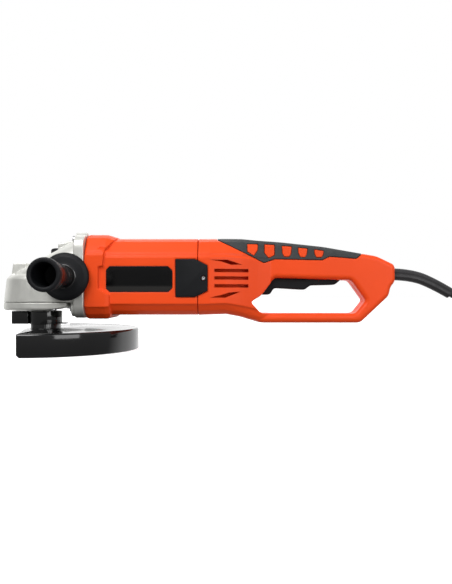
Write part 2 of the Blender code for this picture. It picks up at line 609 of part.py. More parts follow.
# ---- motor ----
def motor_housing():
    low, high = MOTOR_Z - BARREL_H, MOTOR_Z + BARREL_H
    collar_low, collar_high = MOTOR_Z - COLLAR_H, MOTOR_Z + COLLAR_H
    housing = loft("motor_housing", [
        body_ring(HOUSING_FRONT, COLLAR_W - 0.003, collar_low + 0.003, collar_high - 0.003),
        body_ring(HOUSING_FRONT + 0.004, COLLAR_W, collar_low, collar_high),
        body_ring(0.0850, COLLAR_W, collar_low, collar_high),
        body_ring(0.0925, BARREL_W, low, high),
        body_ring(HOUSING_BACK, BARREL_W, low, high)])
    cut(housing, rod("housing_bore", (0.040, 0, MOTOR_Z), (0.1935, 0, MOTOR_Z), MOTOR_BORE, 32))
    cut(housing, rod("housing_shaft_hole", (0.180, 0, MOTOR_Z), (0.220, 0, MOTOR_Z), 0.0060, 16))
    join(housing, turned("housing_bearing_boss", [(0.0140, 0.1940), (0.0140, 0.2085), (0.0113, 0.2085),
                                                  (0.0113, 0.1990), (0.0060, 0.1990),
                                                  (0.0060, 0.1940)][::-1], "X", (0, 0, MOTOR_Z), 20,
                         True))
    for number in range(6):
        angle = math.pi / 3 * number + math.pi / 6
        y, z = 0.0275 * math.cos(angle), MOTOR_Z + 0.0275 * math.sin(angle)
        cut(housing, rod(f"housing_air_{number}", (0.185, y, z), (0.210, y, z), 0.0090, 12))
    cut(housing, block("housing_brush_window", (BRUSH_X - 0.0080, -0.060, MOTOR_Z - 0.0070),
                       (BRUSH_X + 0.0080, 0.060, MOTOR_Z + 0.0070)))
    for side in (-1, 1):
        cut(housing, slab(f"housing_cover_pocket_{side}", [inset(COVER_OUTLINE, -0.0004)],
                          side * 0.0448, side * 0.0600, "XZ"))
        cut(housing, slab(f"housing_plate_pocket_{side}", [inset(PLATE_OUTLINE, -0.0004)],
                          side * 0.0452, side * 0.0600, "XZ"))
    for number, (y, z) in enumerate(CASE_SCREWS):
        cut(housing, rod(f"housing_screw_hole_{number}", (0.040, y, z), (0.0825, y, z), 0.0029, 8))
    return finish(housing, "orange_plastic")


def side_plates():
    for side, hand in ((-1, "left"), (1, "right")):
        plate = slab(f"nameplate_{hand}", [PLATE_OUTLINE], side * 0.0455, side * 0.0464, "XZ")
        finish(plate, "black_paint")
        cover = slab(f"brush_cover_{hand}", [COVER_OUTLINE], side * 0.0451, side * 0.0474, "XZ")
        x, z = COVER_SCREW
        cut(cover, rod(f"cover_screw_hole_{hand}", (x, side * 0.040, z), (x, side * 0.060, z), 0.0031, 10))
        finish(cover, "black_plastic")
        seat = 0.0446
        profile = [(0, -0.0060), (0.0013, -0.0060), (0.0013, 0.0), (0.0027, 0.0), (0.0027, 0.0022),
                   (0.0022, 0.0026), (0, 0.0026)][::-1]
        if side < 0:
            profile = [(radius, -height) for radius, height in profile][::-1]
        screw = turned(f"brush_cover_screw_{hand}", profile, "Y", (x, side * (seat + 0.0006), z), 14)
        finish(screw, "steel")


def brushes():
    for side, hand in ((-1, "left"), (1, "right")):
        y = sorted((side * 0.0190, side * 0.0430))
        holder = block(f"brush_holder_{hand}", (BRUSH_X - 0.0074, y[0], MOTOR_Z - 0.0064),
                       (BRUSH_X + 0.0074, y[1], MOTOR_Z + 0.0064))
        cut(holder, block(f"holder_bore_{hand}", (BRUSH_X - 0.0064, -0.06, MOTOR_Z - 0.0054),
                          (BRUSH_X + 0.0064, 0.06, MOTOR_Z + 0.0054)))
        finish(holder, "brass")
        y = sorted((side * 0.0168, side * 0.0380))
        brush = block(f"carbon_brush_{hand}", (BRUSH_X - 0.0061, y[0], MOTOR_Z - 0.0051),
                      (BRUSH_X + 0.0061, y[1], MOTOR_Z + 0.0051))
        finish(brush, "carbon")


def air_baffle():
    profile = [(0.0300, 0.0503), (0.0411, 0.0503), (0.0411, 0.0530), (0.0400, 0.0540), (0.0320, 0.0540),
               (0.0300, 0.0525)]
    finish(turned("air_baffle", profile[::-1], "X", (0, 0, MOTOR_Z), 32, True), "black_plastic")


def armature():
    shaft = turned("armature_shaft", [(0, 0.0225), (0.0037, 0.0225), (0.0037, 0.0381), (0.0058, 0.0381),
                                      (0.0058, 0.0500), (0.0065, 0.0500), (0.0065, 0.1850),
                                      (0.0038, 0.1990), (0.0038, 0.2060), (0, 0.2060)][::-1], "X",
                   (0, 0, MOTOR_Z), 14)
    finish(shaft, "steel")
    core = turned("armature_core", [(0.0068, 0.0760), (0.0170, 0.0780), (0.0200, 0.0850),
                                    (0.0248, 0.0860), (0.0248, 0.1320), (0.0200, 0.1330),
                                    (0.0190, 0.1420), (0.0150, 0.1500), (0.0068, 0.1510)][::-1], "X",
                  (0, 0, MOTOR_Z), 24, True)
    for number in range(12):
        angle = math.pi / 6 * number
        y, z = 0.0252 * math.cos(angle), MOTOR_Z + 0.0252 * math.sin(angle)
        cut(core, rod(f"core_slot_{number}", (0.0840, y, z), (0.1340, y, z), 0.0016, 4))
    finish(core, "dark_steel")
    finish(turned("commutator", [(0.0068, 0.1640), (0.0180, 0.1640), (0.0180, 0.1675), (0.0165, 0.1675),
                                 (0.0165, 0.1880), (0.0068, 0.1880)][::-1], "X", (0, 0, MOTOR_Z), 24,
                  True), "copper")
    fan = turned("cooling_fan", [(0.0068, 0.0560), (0.0120, 0.0560), (0.0140, 0.0670), (0.0370, 0.0690),
                                 (0.0370, 0.0705), (0.0068, 0.0705)][::-1], "X", (0, 0, MOTOR_Z), 27,
                 True)
    for number in range(9):
        angle = 2 * math.pi * number / 9
        blade = block(f"fan_blade_{number}", (0.0580, 0.0110, -0.0008), (0.0695, 0.0360, 0.0008))
        blade.matrix_world = Matrix.Translation((0, 0, MOTOR_Z)) @ Matrix.Rotation(angle, 4, "X")
        join(fan, blade)
    finish(fan, "white_plastic")
    finish(turned("armature_front_bearing", [(0.0061, 0.0383), (0.0160, 0.0383), (0.0160, 0.0480),
                                             (0.0061, 0.0480)][::-1], "X", (0, 0, MOTOR_Z), 20, True),
           "steel")
    finish(turned("armature_rear_bearing", [(0.0041, 0.1999), (0.0110, 0.1999), (0.0110, 0.2060),
                                            (0.0041, 0.2060)][::-1], "X", (0, 0, MOTOR_Z), 16, True),
           "steel")


def stator():
    core = turned("stator_core", [(0.0256, 0.0860), (0.0410, 0.0860), (0.0410, 0.1320),
                                  (0.0256, 0.1320)][::-1], "X", (0, 0, MOTOR_Z), 32, True)
    for side in (-1, 1):
        z = sorted((side * 0.020, side * 0.0350))
        cut(core, block(f"stator_slot_{side}", (0.080, -0.0200, MOTOR_Z + z[0]),
                        (0.140, 0.0200, MOTOR_Z + z[1])))
    finish(core, "dark_steel")
    for side, name in ((1, "field_winding_upper"), (-1, "field_winding_lower")):
        low, high = sorted((MOTOR_Z + side * 0.0270, MOTOR_Z + side * 0.0345))
        coil = block(name, (0.0780, -0.0195, low), (0.1400, 0.0195, high))
        cut(coil, block(f"{name}_bore", (0.0850, -0.0125, low - 0.01), (0.1330, 0.0125, high + 0.01)))
        finish(coil, "copper")


# ---- rear handle ----
NECK_STATIONS = [(0.2003, 0.0460, 0.0418, 0.1378), (0.2150, 0.0455, 0.0422, 0.1380),
                 (0.2350, 0.0420, 0.0428, 0.1384), (0.2550, 0.0345, 0.0390, 0.1384),
                 (0.2750, 0.0255, 0.0336, 0.1368), (0.2920, 0.0190, 0.0318, 0.1350)]


def handle_solid(name, inward=0.0):
    """The rear handle's outer form, or the same form with its surface moved inward."""
    outline = inset(HANDLE_OUTLINE, inward)
    opening = inset(HAND_OPENING, -inward)
    form = slab(name, [outline, opening[::-1]], -GRIP_W + inward, GRIP_W - inward, "XZ",
                0.0055 - 0.95 * inward, 3)
    # the exact solver leaves slivers where these long thin shells are cut many times
    form["solver"] = "MANIFOLD"
    front = 0.0 if inward == 0 else 0.006
    rings = [body_ring(x - (front if number == 0 else 0), width, low, high, inward)
             for number, (x, width, low, high) in enumerate(NECK_STATIONS)]
    join(form, loft(f"{name}_neck", rings))
    cut(form, slab(f"{name}_opening", [opening], -0.060, 0.060, "XZ"))
    return form


HANDLE_SCREWS = [(0.2380, 0.0575, 0.0400), (0.3961, 0.1054, GRIP_W), (0.4305, 0.0799, GRIP_W)]


def vents(side):
    """The air slots in one side of the rear handle."""
    slots = [[(0.2205, z - 0.0022), (0.2630, z - 0.0022), (0.2630, z + 0.0022), (0.2205, z + 0.0022)]
             for z in VENT_SLOTS]
    tools = []
    for number, outline in enumerate(slots + VENTS):
        tools.append(slab(f"vent_{side}_{number}", [outline], side * 0.0200, side * 0.0600, "XZ"))
    return tools


def handle_shells():
    insert_room = handle_solid("insert_room_inner", 0.0027)
    windows = [inset(window, GAP)[::-1] for window in INSERT_WINDOWS]
    room = slab("insert_room", [inset(INSERT_OUTLINE, -GAP)] + windows, -0.060, 0.060, "XZ")
    room["solver"] = "MANIFOLD"
    cut(room, insert_room)
    hollow = handle_solid("handle_hollow", SHELL)
    slot = slab("trigger_slot", [TRIGGER_SLOT], -0.0102, 0.0102, "XZ")
    for side, hand in ((-1, "left"), (1, "right")):
        shell = handle_solid(f"handle_shell_{hand}")
        cut(shell, hollow)
        for number, (x, z, width) in enumerate(HANDLE_SCREWS):
            y = sorted((side * 0.0004, side * (width - 0.0020)))
            join(shell, rod(f"shell_post_{hand}_{number}", (x, y[0], z), (x, y[1], z), 0.0041, 16))
        x, _, z = TRIGGER_PIVOT
        join(shell, rod(f"shell_pivot_boss_{hand}", (x, side * 0.0106, z + 0.001),
                        (x, side * 0.0165, z + 0.001), 0.0052, 18))
        cut(shell, slot, room)
        y = sorted((side * 0.00015, side * 0.08))
        keep(shell, block(f"half_{hand}", (0.15, y[0], 0.0), (0.50, y[1], 0.2)))
        cut(shell, rod(f"shell_pivot_hole_{hand}", (x, side * 0.0080, z), (x, side * 0.0145, z), 0.0023, 14))
        cut(shell, rod(f"shell_cord_hole_{hand}", (0.4455, 0, 0.0937), (0.4700, 0, 0.0937), 0.0091, 20))
        for tool in vents(side):
            cut(shell, tool)
        cut(shell, slab(f"shell_cover_pocket_{hand}", [inset(COVER_OUTLINE, -0.0004)], side * 0.0448,
                        side * 0.0600, "XZ"))
        x, z = COVER_SCREW
        cut(shell, rod(f"shell_cover_screw_{hand}", (x, side * 0.036, z), (x, side * 0.060, z), 0.0016, 12))
        for number, (x, z, width) in enumerate(HANDLE_SCREWS):
            depth = -width + 0.0060 if side < 0 else 0.0
            cut(shell, rod(f"shell_screw_hole_{hand}_{number}", (x, depth, z),
                           (x, width if side > 0 else 0.001, z), 0.0018, 12))
            if side > 0:
                cut(shell, rod(f"shell_screw_recess_{number}", (x, width - 0.0040, z), (x, 0.060, z),
                               0.0036, 14))
        finish(shell, "orange_plastic")
    for number, (x, z, width) in enumerate(HANDLE_SCREWS):
        length = width - 0.0040 + width - 0.0075
        profile = [(0, 0.0030), (0.0028, 0.0030), (0.0033, 0.0022), (0.0033, GAP), (0.0015, GAP),
                   (0.0015, -length), (0, -length)]
        finish(turned(f"handle_screw_{number + 1}", profile, "Y", (x, width - 0.0040, z), 12), "dark_steel")


def grip_insert():
    insert = slab("grip_insert", [INSERT_OUTLINE] + [window[::-1] for window in INSERT_WINDOWS], -0.060,
                  0.060, "XZ")
    insert["solver"] = "MANIFOLD"
    keep(insert, handle_solid("insert_outer"))
    cut(insert, handle_solid("insert_inner", 0.0021))
    return finish(insert, "grey_rubber")


def switch_and_trigger():
    trigger = slab("trigger", [TRIGGER_OUTLINE], -0.0095, 0.0095, "XZ", 0.0012, 2)
    x, y, z = TRIGGER_PIVOT
    join(trigger, rod("trigger_pegs", (x, -0.0135, z), (x, 0.0135, z), 0.0020, 14))
    trigger.data.transform(Matrix.Translation((-x, -y, -z)))
    trigger.location = TRIGGER_PIVOT
    finish(trigger, "black_plastic")
    switch = block("switch_body", (0.3060, -0.0100, 0.1085), (0.3460, 0.0100, 0.1235), 0.0008)
    finish(switch, "black_plastic")
    turns = 4
    route = []
    for number in range(turns * 8 + 1):
        angle = 2 * math.pi * number / 8
        route.append((0.3580 + 0.0035 * math.cos(angle), 0.0035 * math.sin(angle),
                      0.0975 + 0.0140 * number / (turns * 8)))
    finish(tube("trigger_spring", route, 0.0005, 1.0, 1), "steel")


# ---- cord ----
def smooth_route(points, count):
    """Points on a smooth curve through the given points, evenly along its parameter."""
    route = []
    spans = len(points) - 1
    for number in range(count):
        place = number * spans / (count - 1)
        start = min(int(place), spans - 1)
        t = place - start
        p1, p2 = Vector(points[start]), Vector(points[start + 1])
        p0 = Vector(points[start - 1]) if start else 2 * p1 - p2
        p3 = Vector(points[start + 2]) if start + 2 <= spans else 2 * p2 - p1
        route.append(0.5 * (2 * p1 + (p2 - p0) * t + (2 * p0 - 5 * p1 + 4 * p2 - p3) * t * t
                            + (3 * p1 - p0 - 3 * p2 + p3) * t ** 3))
    return route


def cord_parts():
    sleeve = tube("strain_relief", smooth_route(SLEEVE_ROUTE, 13), 0.0080, 0.93, 3)
    join(sleeve, rod("sleeve_flange", (0.4412, 0, 0.0937), (0.4446, 0, 0.0937), 0.0100, 20))
    finish(sleeve, "cord_rubber")
    finish(tube("cord", smooth_route(CORD_ROUTE, 14), CORD_R, 1.0, 2), "cord_rubber")
    # the coil: three columns and three layers of cord, and a third of a turn more on top of them
    x, y = COIL_CENTRE
    inner, outer = COIL_MEAN - 3 * CORD_R, COIL_MEAN + 3 * CORD_R
    low, high = RIM_Z + GAP, RIM_Z + GAP + 2 * CORD_R * COIL_LAYERS
    coil = turned("cord_coil", [(inner, high - 0.002), (inner + 0.002, high), (outer - 0.002, high),
                                (outer, high - 0.002), (outer, low + 0.002), (outer - 0.002, low),
                                (inner + 0.002, low), (inner, low + 0.002)], "Z", (x, y, 0), 32, True)
    tail = [(x + COIL_MEAN * math.cos(math.radians(angle)), y + COIL_MEAN * math.sin(math.radians(angle)),
             high + CORD_R * 0.8) for angle in range(-80, TAIL_END + 1, 10)]
    join(coil, tube("coil_tail", tail, CORD_R, 1.0, 2))
    finish(coil, "cord_rubber")
    plug(tail[-1][0], tail[-1][1], high)


def plug(x, y, base):
    """A moulded two-pin mains plug, lying flat on the coil and carrying on where its tail ends."""
    centre = base + GAP + 0.0095
    turn = math.radians(TAIL_END)

    def spot(reach, aside, up=0.0):
        return (x - reach * math.sin(turn) + aside * math.cos(turn),
                y + reach * math.cos(turn) + aside * math.sin(turn), centre + up)

    rings = []
    for reach, width, tall in ((0.0010, 0.0058, 0.0058), (0.0130, 0.0075, 0.0070), (0.0210, 0.0165, 0.0088),
                               (0.0290, 0.0185, 0.0095), (0.0470, 0.0185, 0.0095)):
        ring = []
        for number in range(20):
            angle = 2 * math.pi * number / 20
            ring.append(spot(reach, width * math.cos(angle), tall * math.sin(angle)))
        rings.append(ring)
    body = loft("plug", rings)
    for side in (-1, 1):
        join(body, rod(f"plug_pin_{side}", spot(0.0440, side * 0.0095), spot(0.0660, side * 0.0095),
                       0.0024, 12))
    finish(body, "cord_rubber")


def main():
    clear_scene()
    gear_case()
    gear_cover()
    head_screws()
    spindle_lock()
    crown_gear()
    pinion()
    spindle_parts()
    guard()
    side_handle()
    motor_housing()
    side_plates()
    brushes()
    air_baffle()
    armature()
    stator()
    handle_shells()
    grip_insert()
    switch_and_trigger()
    cord_parts()


main()
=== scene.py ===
"""The looks of an angle grinder of the 230 mm class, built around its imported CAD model.

Frame of the model: +X from the gear head to the cord, +Z up, -Y to the side handle's side, with
the origin at the centre of the spindle's end face. All lengths are in metres.
"""
import math

import bmesh
import bpy
from mathutils import Matrix, Vector


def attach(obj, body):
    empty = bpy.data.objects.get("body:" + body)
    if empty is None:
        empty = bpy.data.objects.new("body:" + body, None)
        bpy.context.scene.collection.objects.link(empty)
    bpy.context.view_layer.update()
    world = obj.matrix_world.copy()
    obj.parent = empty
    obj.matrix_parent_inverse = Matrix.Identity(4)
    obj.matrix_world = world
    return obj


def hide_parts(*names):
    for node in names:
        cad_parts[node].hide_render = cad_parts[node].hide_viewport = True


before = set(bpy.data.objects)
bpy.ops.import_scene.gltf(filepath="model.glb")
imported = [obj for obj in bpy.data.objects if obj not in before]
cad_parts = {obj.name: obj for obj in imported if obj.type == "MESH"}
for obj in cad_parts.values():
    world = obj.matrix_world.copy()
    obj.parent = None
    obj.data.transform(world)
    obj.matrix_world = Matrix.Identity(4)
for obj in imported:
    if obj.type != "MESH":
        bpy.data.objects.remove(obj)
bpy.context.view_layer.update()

# ---- driving dimensions, as in the CAD ----
GAP = 0.0003
RIM_Z = -0.003
MOTOR_Z = 0.090
GUARD_R = 0.120
GUARD_TOP = 0.0236
GUARD_SHEET = 0.0020
NECK_R = 0.0175
FLANGE_FRONT = 0.0480
FLANGE_BACK = 0.0605
HOUSING_FRONT = 0.0610
HOUSING_BACK = 0.1995
MOTOR_BORE = 0.0415
GRIP_W = 0.019
SHELL = 0.0042
SIDE_X = 0.0395
SIDE_Z = 0.0893
BOSS_Y = 0.0525
BRUSH_X = 0.183
TRIGGER_PIVOT = (0.3784, 0.0, 0.0902)
LOCK_X = 0.0155
CASE_SEAT = 0.0470
CORD_R = 0.00425
COIL_CENTRE = (0.625, 0.055)
COIL_MEAN = 0.0468
TAIL_END = 50  # where on the coil, in degrees, its tail runs into the plug

HANDLE_OUTLINE = [
    (0.2003, 0.1378), (0.2230, 0.1385), (0.2615, 0.1376), (0.3048, 0.1345), (0.3593, 0.1286),
    (0.4085, 0.1200), (0.4276, 0.1168), (0.4492, 0.1064), (0.4513, 0.1025), (0.4513, 0.0838),
    (0.4458, 0.0775), (0.4433, 0.0657), (0.4069, 0.0312), (0.2792, 0.0312), (0.2390, 0.0430),
    (0.2003, 0.0418)]
HAND_OPENING = [
    (0.2969, 0.0887), (0.3951, 0.0858), (0.4138, 0.0598), (0.4006, 0.0435), (0.2796, 0.0435),
    (0.2659, 0.0580), (0.2796, 0.0664)]
INSERT_OUTLINE = [
    (0.2237, 0.1398), (0.2247, 0.1361), (0.2831, 0.1079), (0.2974, 0.1128), (0.3578, 0.1115),
    (0.3667, 0.1160), (0.4010, 0.1133), (0.4087, 0.1200), (0.4118, 0.1251), (0.3676, 0.1437)]
INSERT_WINDOWS = [
    [(0.2615, 0.1320), (0.2758, 0.1320), (0.2758, 0.1241), (0.2702, 0.1160), (0.2615, 0.1213)],
    [(0.2836, 0.1315), (0.2971, 0.1312), (0.2971, 0.1174), (0.2890, 0.1135), (0.2836, 0.1204)],
    [(0.3057, 0.1300), (0.3190, 0.1288), (0.3180, 0.1187), (0.3156, 0.1151), (0.3087, 0.1153),
     (0.3065, 0.1202)],
    [(0.3264, 0.1277), (0.3393, 0.1263), (0.3382, 0.1184), (0.3357, 0.1147), (0.3295, 0.1150),
     (0.3269, 0.1202)],
    [(0.3470, 0.1253), (0.3600, 0.1233), (0.3588, 0.1172), (0.3560, 0.1143), (0.3500, 0.1145),
     (0.3475, 0.1192)]]
TRIGGER_OUTLINE = [
    (0.2798, 0.0671), (0.2915, 0.0673), (0.2967, 0.0758), (0.3366, 0.0734), (0.3431, 0.0791),
    (0.3752, 0.0799), (0.3824, 0.0860), (0.3839, 0.0902), (0.3824, 0.0951), (0.3038, 0.0961),
    (0.2949, 0.0897), (0.2882, 0.0817)]
TRIGGER_SLOT = [
    (0.2733, 0.0602), (0.2939, 0.0602), (0.3873, 0.0799), (0.3873, 0.0981), (0.3775, 0.1035),
    (0.2939, 0.1056), (0.2851, 0.0956), (0.2782, 0.0828)]
COVER_OUTLINE = [
    (0.1728, 0.1112), (0.1968, 0.1112), (0.2122, 0.1035), (0.2122, 0.0722), (0.1965, 0.0645),
    (0.1728, 0.0645)]
COVER_SCREW = (0.2070, 0.0876)
VENTS = [
    [(0.2153, 0.1106), (0.2370, 0.1106), (0.2552, 0.1048), (0.2410, 0.1046), (0.2290, 0.1085)],
    [(0.2147, 0.0638), (0.2341, 0.0637), (0.2530, 0.0712), (0.2390, 0.0702), (0.2290, 0.0672)]]
VENT_SLOTS = (0.0973, 0.0881, 0.0783)
PLATE_OUTLINE = [
    (0.0873, 0.0980), (0.0916, 0.1025), (0.1635, 0.1025), (0.1690, 0.0972), (0.1690, 0.0760),
    (0.1640, 0.0708), (0.0916, 0.0708), (0.0873, 0.0750)]
# edge of the raised collar round the front of the motor housing, side view
COLLAR_OUTLINE = [
    (0.0480, 0.0350), (0.0862, 0.0350), (0.0915, 0.0412), (0.0915, 0.0672), (0.0780, 0.0750),
    (0.0780, 0.1018), (0.0835, 0.1024), (0.0850, 0.1215), (0.0990, 0.1400), (0.0900, 0.1450),
    (0.0480, 0.1450)]
COLLAR_FACET = [(0.0772, 0.1240), (0.0858, 0.1210), (0.0990, 0.1362), (0.0925, 0.1366)]
SLEEVE_ROUTE = [
    (0.4426, 0.0, 0.0937), (0.4590, 0.0, 0.0935), (0.4740, 0.0, 0.0918), (0.4880, 0.0, 0.0885),
    (0.5010, 0.0, 0.0830), (0.5140, 0.0, 0.0764), (0.5268, 0.0, 0.0692)]
CORD_ROUTE = [
    (0.5272, 0.0, 0.0690), (0.5345, 0.0, 0.0648), (0.5420, 0.0, 0.0602), (0.5490, 0.0, 0.0550),
    (0.5555, 0.0, 0.0492), (0.5615, 0.0, 0.0430), (0.5672, 0.0, 0.0366), (0.5728, 0.0, 0.0300),
    (0.5787, 0.0, 0.0237), (0.5852, 0.0, 0.0178), (0.5925, 0.0, 0.0125)]
NECK_STATIONS = [
    (0.2003, 0.0460, 0.0418, 0.1378), (0.2150, 0.0455, 0.0422, 0.1380),
    (0.2350, 0.0420, 0.0428, 0.1384), (0.2550, 0.0345, 0.0390, 0.1384),
    (0.2750, 0.0255, 0.0336, 0.1368), (0.2920, 0.0190, 0.0318, 0.1350)]
HANDLE_SCREWS = [(0.2380, 0.0575, 0.0400), (0.3961, 0.1054, GRIP_W), (0.4305, 0.0799, GRIP_W)]
CASE_SCREWS = [(-0.0245, 0.1372), (0.0245, 0.1372), (-0.0385, 0.0510), (0.0385, 0.0510)]
COVER_SCREWS = [(-0.0355, -0.0285), (-0.0355, 0.0285), (0.0210, -0.0400), (0.0210, 0.0400)]
# sections of the gear case's cone: place along X, half width, lowest and highest point
CONE_STATIONS = [
    (-0.034, 0.026, 0.062, 0.0965), (-0.026, 0.032, 0.062, 0.1000),
    (-0.018, 0.036, 0.062, 0.1043), (-0.007, 0.0395, 0.062, 0.1105),
    (0.004, 0.042, 0.062, 0.1163), (0.013, 0.044, 0.061, 0.1213),
    (0.022, 0.0455, 0.060, 0.1260), (0.0375, 0.0480, 0.056, 0.1335),
    (0.0495, 0.0490, 0.052, 0.1385)]
SIDES = ((-1, "left"), (1, "right"))


# ---- mesh tools ----
def make(name, data):
    piece = bpy.data.objects.new(name, data)
    bpy.context.scene.collection.objects.link(piece)
    return piece


def crease(piece, angle):
    """Edges that turn by more than angle, in degrees, are shaded as sharp."""
    piece.data.set_sharp_from_angle(angle=math.radians(angle))
    return piece


def from_bmesh(name, bm):
    mesh = bpy.data.meshes.new(name)
    bm.normal_update()
    bm.to_mesh(mesh)
    bm.free()
    mesh.shade_smooth()
    return crease(make(name, mesh), 35)


def bake(piece):
    """The piece with its modifiers and its place applied to its mesh."""
    bpy.context.view_layer.update()
    seen = piece.evaluated_get(bpy.context.evaluated_depsgraph_get())
    mesh = bpy.data.meshes.new_from_object(seen)
    mesh.transform(piece.matrix_world)
    name = piece.name
    bpy.data.objects.remove(piece, do_unlink=True)
    return make(name, mesh)


def combine(piece, tools, operation, solver="EXACT"):
    """Boolean of the piece with each tool; the tools are used up."""
    for tool in tools:
        step = piece.modifiers.new(tool.name, "BOOLEAN")
        step.operation = operation
        step.solver = solver
        step.object = tool
    piece = bake(piece)
    for tool in tools:
        bpy.data.objects.remove(tool, do_unlink=True)
    return piece


def cut(piece, *tools):
    return combine(piece, tools, "DIFFERENCE")


def cut_crisp(piece, *tools):
    """A cut into a piece that soften has already made fine, so that its edges stay sharp."""
    piece = combine(piece, tools, "DIFFERENCE", "MANIFOLD")
    piece.data.shade_smooth()
    return crease(piece, 40)


def join(piece, *tools):
    return combine(piece, tools, "UNION")


def keep(piece, *tools):
    return combine(piece, tools, "INTERSECT")


def soften(piece, voxel, passes, share):
    """Rounds every edge as moulding or casting does: a fine remesh, then light smoothing.

    Of the remesh's triangles only the given share is kept, where the shape needs them most.
    """
    remesh = piece.modifiers.new("remesh", "REMESH")
    remesh.mode = "VOXEL"
    remesh.voxel_size = voxel * 1.0
    smooth = piece.modifiers.new("smooth", "SMOOTH")
    smooth.factor = 0.5
    smooth.iterations = passes
    fewer = piece.modifiers.new("fewer", "DECIMATE")
    fewer.ratio = share
    piece = bake(piece)
    piece.data.shade_smooth()
    return piece


def edge_bevel(piece, width, segments, angle):
    bevel = piece.modifiers.new("bevel", "BEVEL")
    bevel.width = width
    bevel.segments = segments
    bevel.limit_method = "ANGLE"
    bevel.angle_limit = math.radians(angle)
    bevel.harden_normals = True
    return bake(piece)


def rod(name, start, end, radius, segments):
    start, end = Vector(start), Vector(end)
    along = end - start
    bm = bmesh.new()
    bmesh.ops.create_cone(bm, cap_ends=True, segments=segments, radius1=radius, radius2=radius,
                          depth=along.length)
    turn = Vector((0, 0, 1)).rotation_difference(along).to_matrix().to_4x4()
    bm.transform(Matrix.Translation((start + end) / 2) @ turn)
    return from_bmesh(name, bm)


def block(name, low, high, bevel=0.0):
    low, high = Vector(low), Vector(high)
    bm = bmesh.new()
    bmesh.ops.create_cube(bm, size=1.0)
    bm.transform(Matrix.Translation((low + high) / 2) @ Matrix.Diagonal((*(high - low), 1.0)))
    if bevel:
        bmesh.ops.bevel(bm, geom=bm.edges[:], offset=bevel, segments=3, profile=0.5,
                        affect="EDGES")
    return from_bmesh(name, bm)


def rounded(points, radius, closed=True, steps=4):
    """The outline with each corner replaced by a short arc."""
    made = []
    count = len(points)
    for number, here in enumerate(points):
        if not closed and number in (0, count - 1):
            made.append(tuple(here))
            continue
        here = Vector(here)
        before = Vector(points[number - 1]) - here
        after = Vector(points[(number + 1) % count]) - here
        reach = min(radius, 0.45 * before.length, 0.45 * after.length)
        first = here + before.normalized() * reach
        last = here + after.normalized() * reach
        for step in range(steps + 1):
            t = step / steps
            made.append(tuple(first * (1 - t) ** 2 + here * (2 * t * (1 - t)) + last * t * t))
    return made


AXES = {"Z": Matrix.Identity(3), "X": Matrix(((0, 0, 1), (0, 1, 0), (-1, 0, 0))),
        "Y": Matrix(((1, 0, 0), (0, 0, 1), (0, -1, 0)))}


def turned(name, profile, axis="Z", at=(0, 0, 0), steps=96, ring=False, round_by=0.0):
    """A turned piece from (radius, height) points, closed on the axis or as a ring."""
    if round_by:
        profile = rounded(profile, round_by, ring, 3)
    bm = bmesh.new()
    place = Matrix.Translation(at) @ AXES[axis].to_4x4()
    rows = []
    for radius, height in profile:
        if radius < 1e-6:
            rows.append([bm.verts.new(place @ Vector((0, 0, height)))])
            continue
        rows.append([bm.verts.new(place @ Vector((radius * math.cos(math.tau * n / steps),
                                                  radius * math.sin(math.tau * n / steps),
                                                  height))) for n in range(steps)])
    pairs = list(zip(rows, rows[1:])) + ([(rows[-1], rows[0])] if ring else [])
    for upper, lower in pairs:
        for n in range(steps):
            after = (n + 1) % steps
            corners = [upper[n % len(upper)], upper[after % len(upper)],
                       lower[after % len(lower)], lower[n % len(lower)]]
            corners = list(dict.fromkeys(corners))
            if len(corners) > 2:
                bm.faces.new(corners)
    bmesh.ops.recalc_face_normals(bm, faces=bm.faces[:])
    return from_bmesh(name, bm)


PLANES = {"XZ": Matrix(((1, 0, 0, 0), (0, 0, -1, 0), (0, 1, 0, 0), (0, 0, 0, 1))),
          "XY": Matrix.Identity(4),
          "YZ": Matrix(((0, 0, 1, 0), (1, 0, 0, 0), (0, 1, 0, 0), (0, 0, 0, 1)))}


def curve_mesh(piece):
    """A curve object turned into a clean closed mesh in place."""
    piece = bake(piece)
    bm = bmesh.new()
    bm.from_mesh(piece.data)
    bmesh.ops.remove_doubles(bm, verts=bm.verts[:], dist=0.000005)
    bmesh.ops.recalc_face_normals(bm, faces=bm.faces[:])
    name = piece.name
    bpy.data.objects.remove(piece, do_unlink=True)
    return from_bmesh(name, bm)


def slab(name, outlines, low, high, plane="XZ", bevel=0.0, bevel_steps=3):
    """A flat outline with holes, from low to high across its plane, with rounded edges."""
    curve = bpy.data.curves.new(name, "CURVE")
    curve.dimensions = "2D"
    curve.fill_mode = "BOTH"
    for points in outlines:
        spline = curve.splines.new("POLY")
        spline.points.add(len(points) - 1)
        for spot, (u, v) in zip(spline.points, points):
            spot.co = (u, v, 0, 1)
        spline.use_cyclic_u = True
    curve.extrude = abs(high - low) / 2 - bevel
    if bevel:
        curve.bevel_depth = bevel
        curve.bevel_resolution = bevel_steps - 1
        curve.offset = -bevel
    piece = make(name, curve)
    across = PLANES[plane].to_3x3() @ Vector((0, 0, 1))
    middle = across * (low + high) / 2 * (1 if plane != "XZ" else -1)
    piece.matrix_world = Matrix.Translation(middle) @ PLANES[plane]
    return curve_mesh(piece)


def loft(name, stations):
    """A closed skin through rings of points that all have the same count."""
    bm = bmesh.new()
    rings = [[bm.verts.new(point) for point in ring] for ring in stations]
    for ring, following in zip(rings, rings[1:]):
        count = len(ring)
        for number in range(count):
            after = (number + 1) % count
            bm.faces.new((ring[number], ring[after], following[after], following[number]))
    bm.faces.new(rings[0][::-1])
    bm.faces.new(rings[-1])
    bmesh.ops.recalc_face_normals(bm, faces=bm.faces[:])
    bmesh.ops.triangulate(bm, faces=bm.faces[:], quad_method="FIXED")
    return from_bmesh(name, bm)


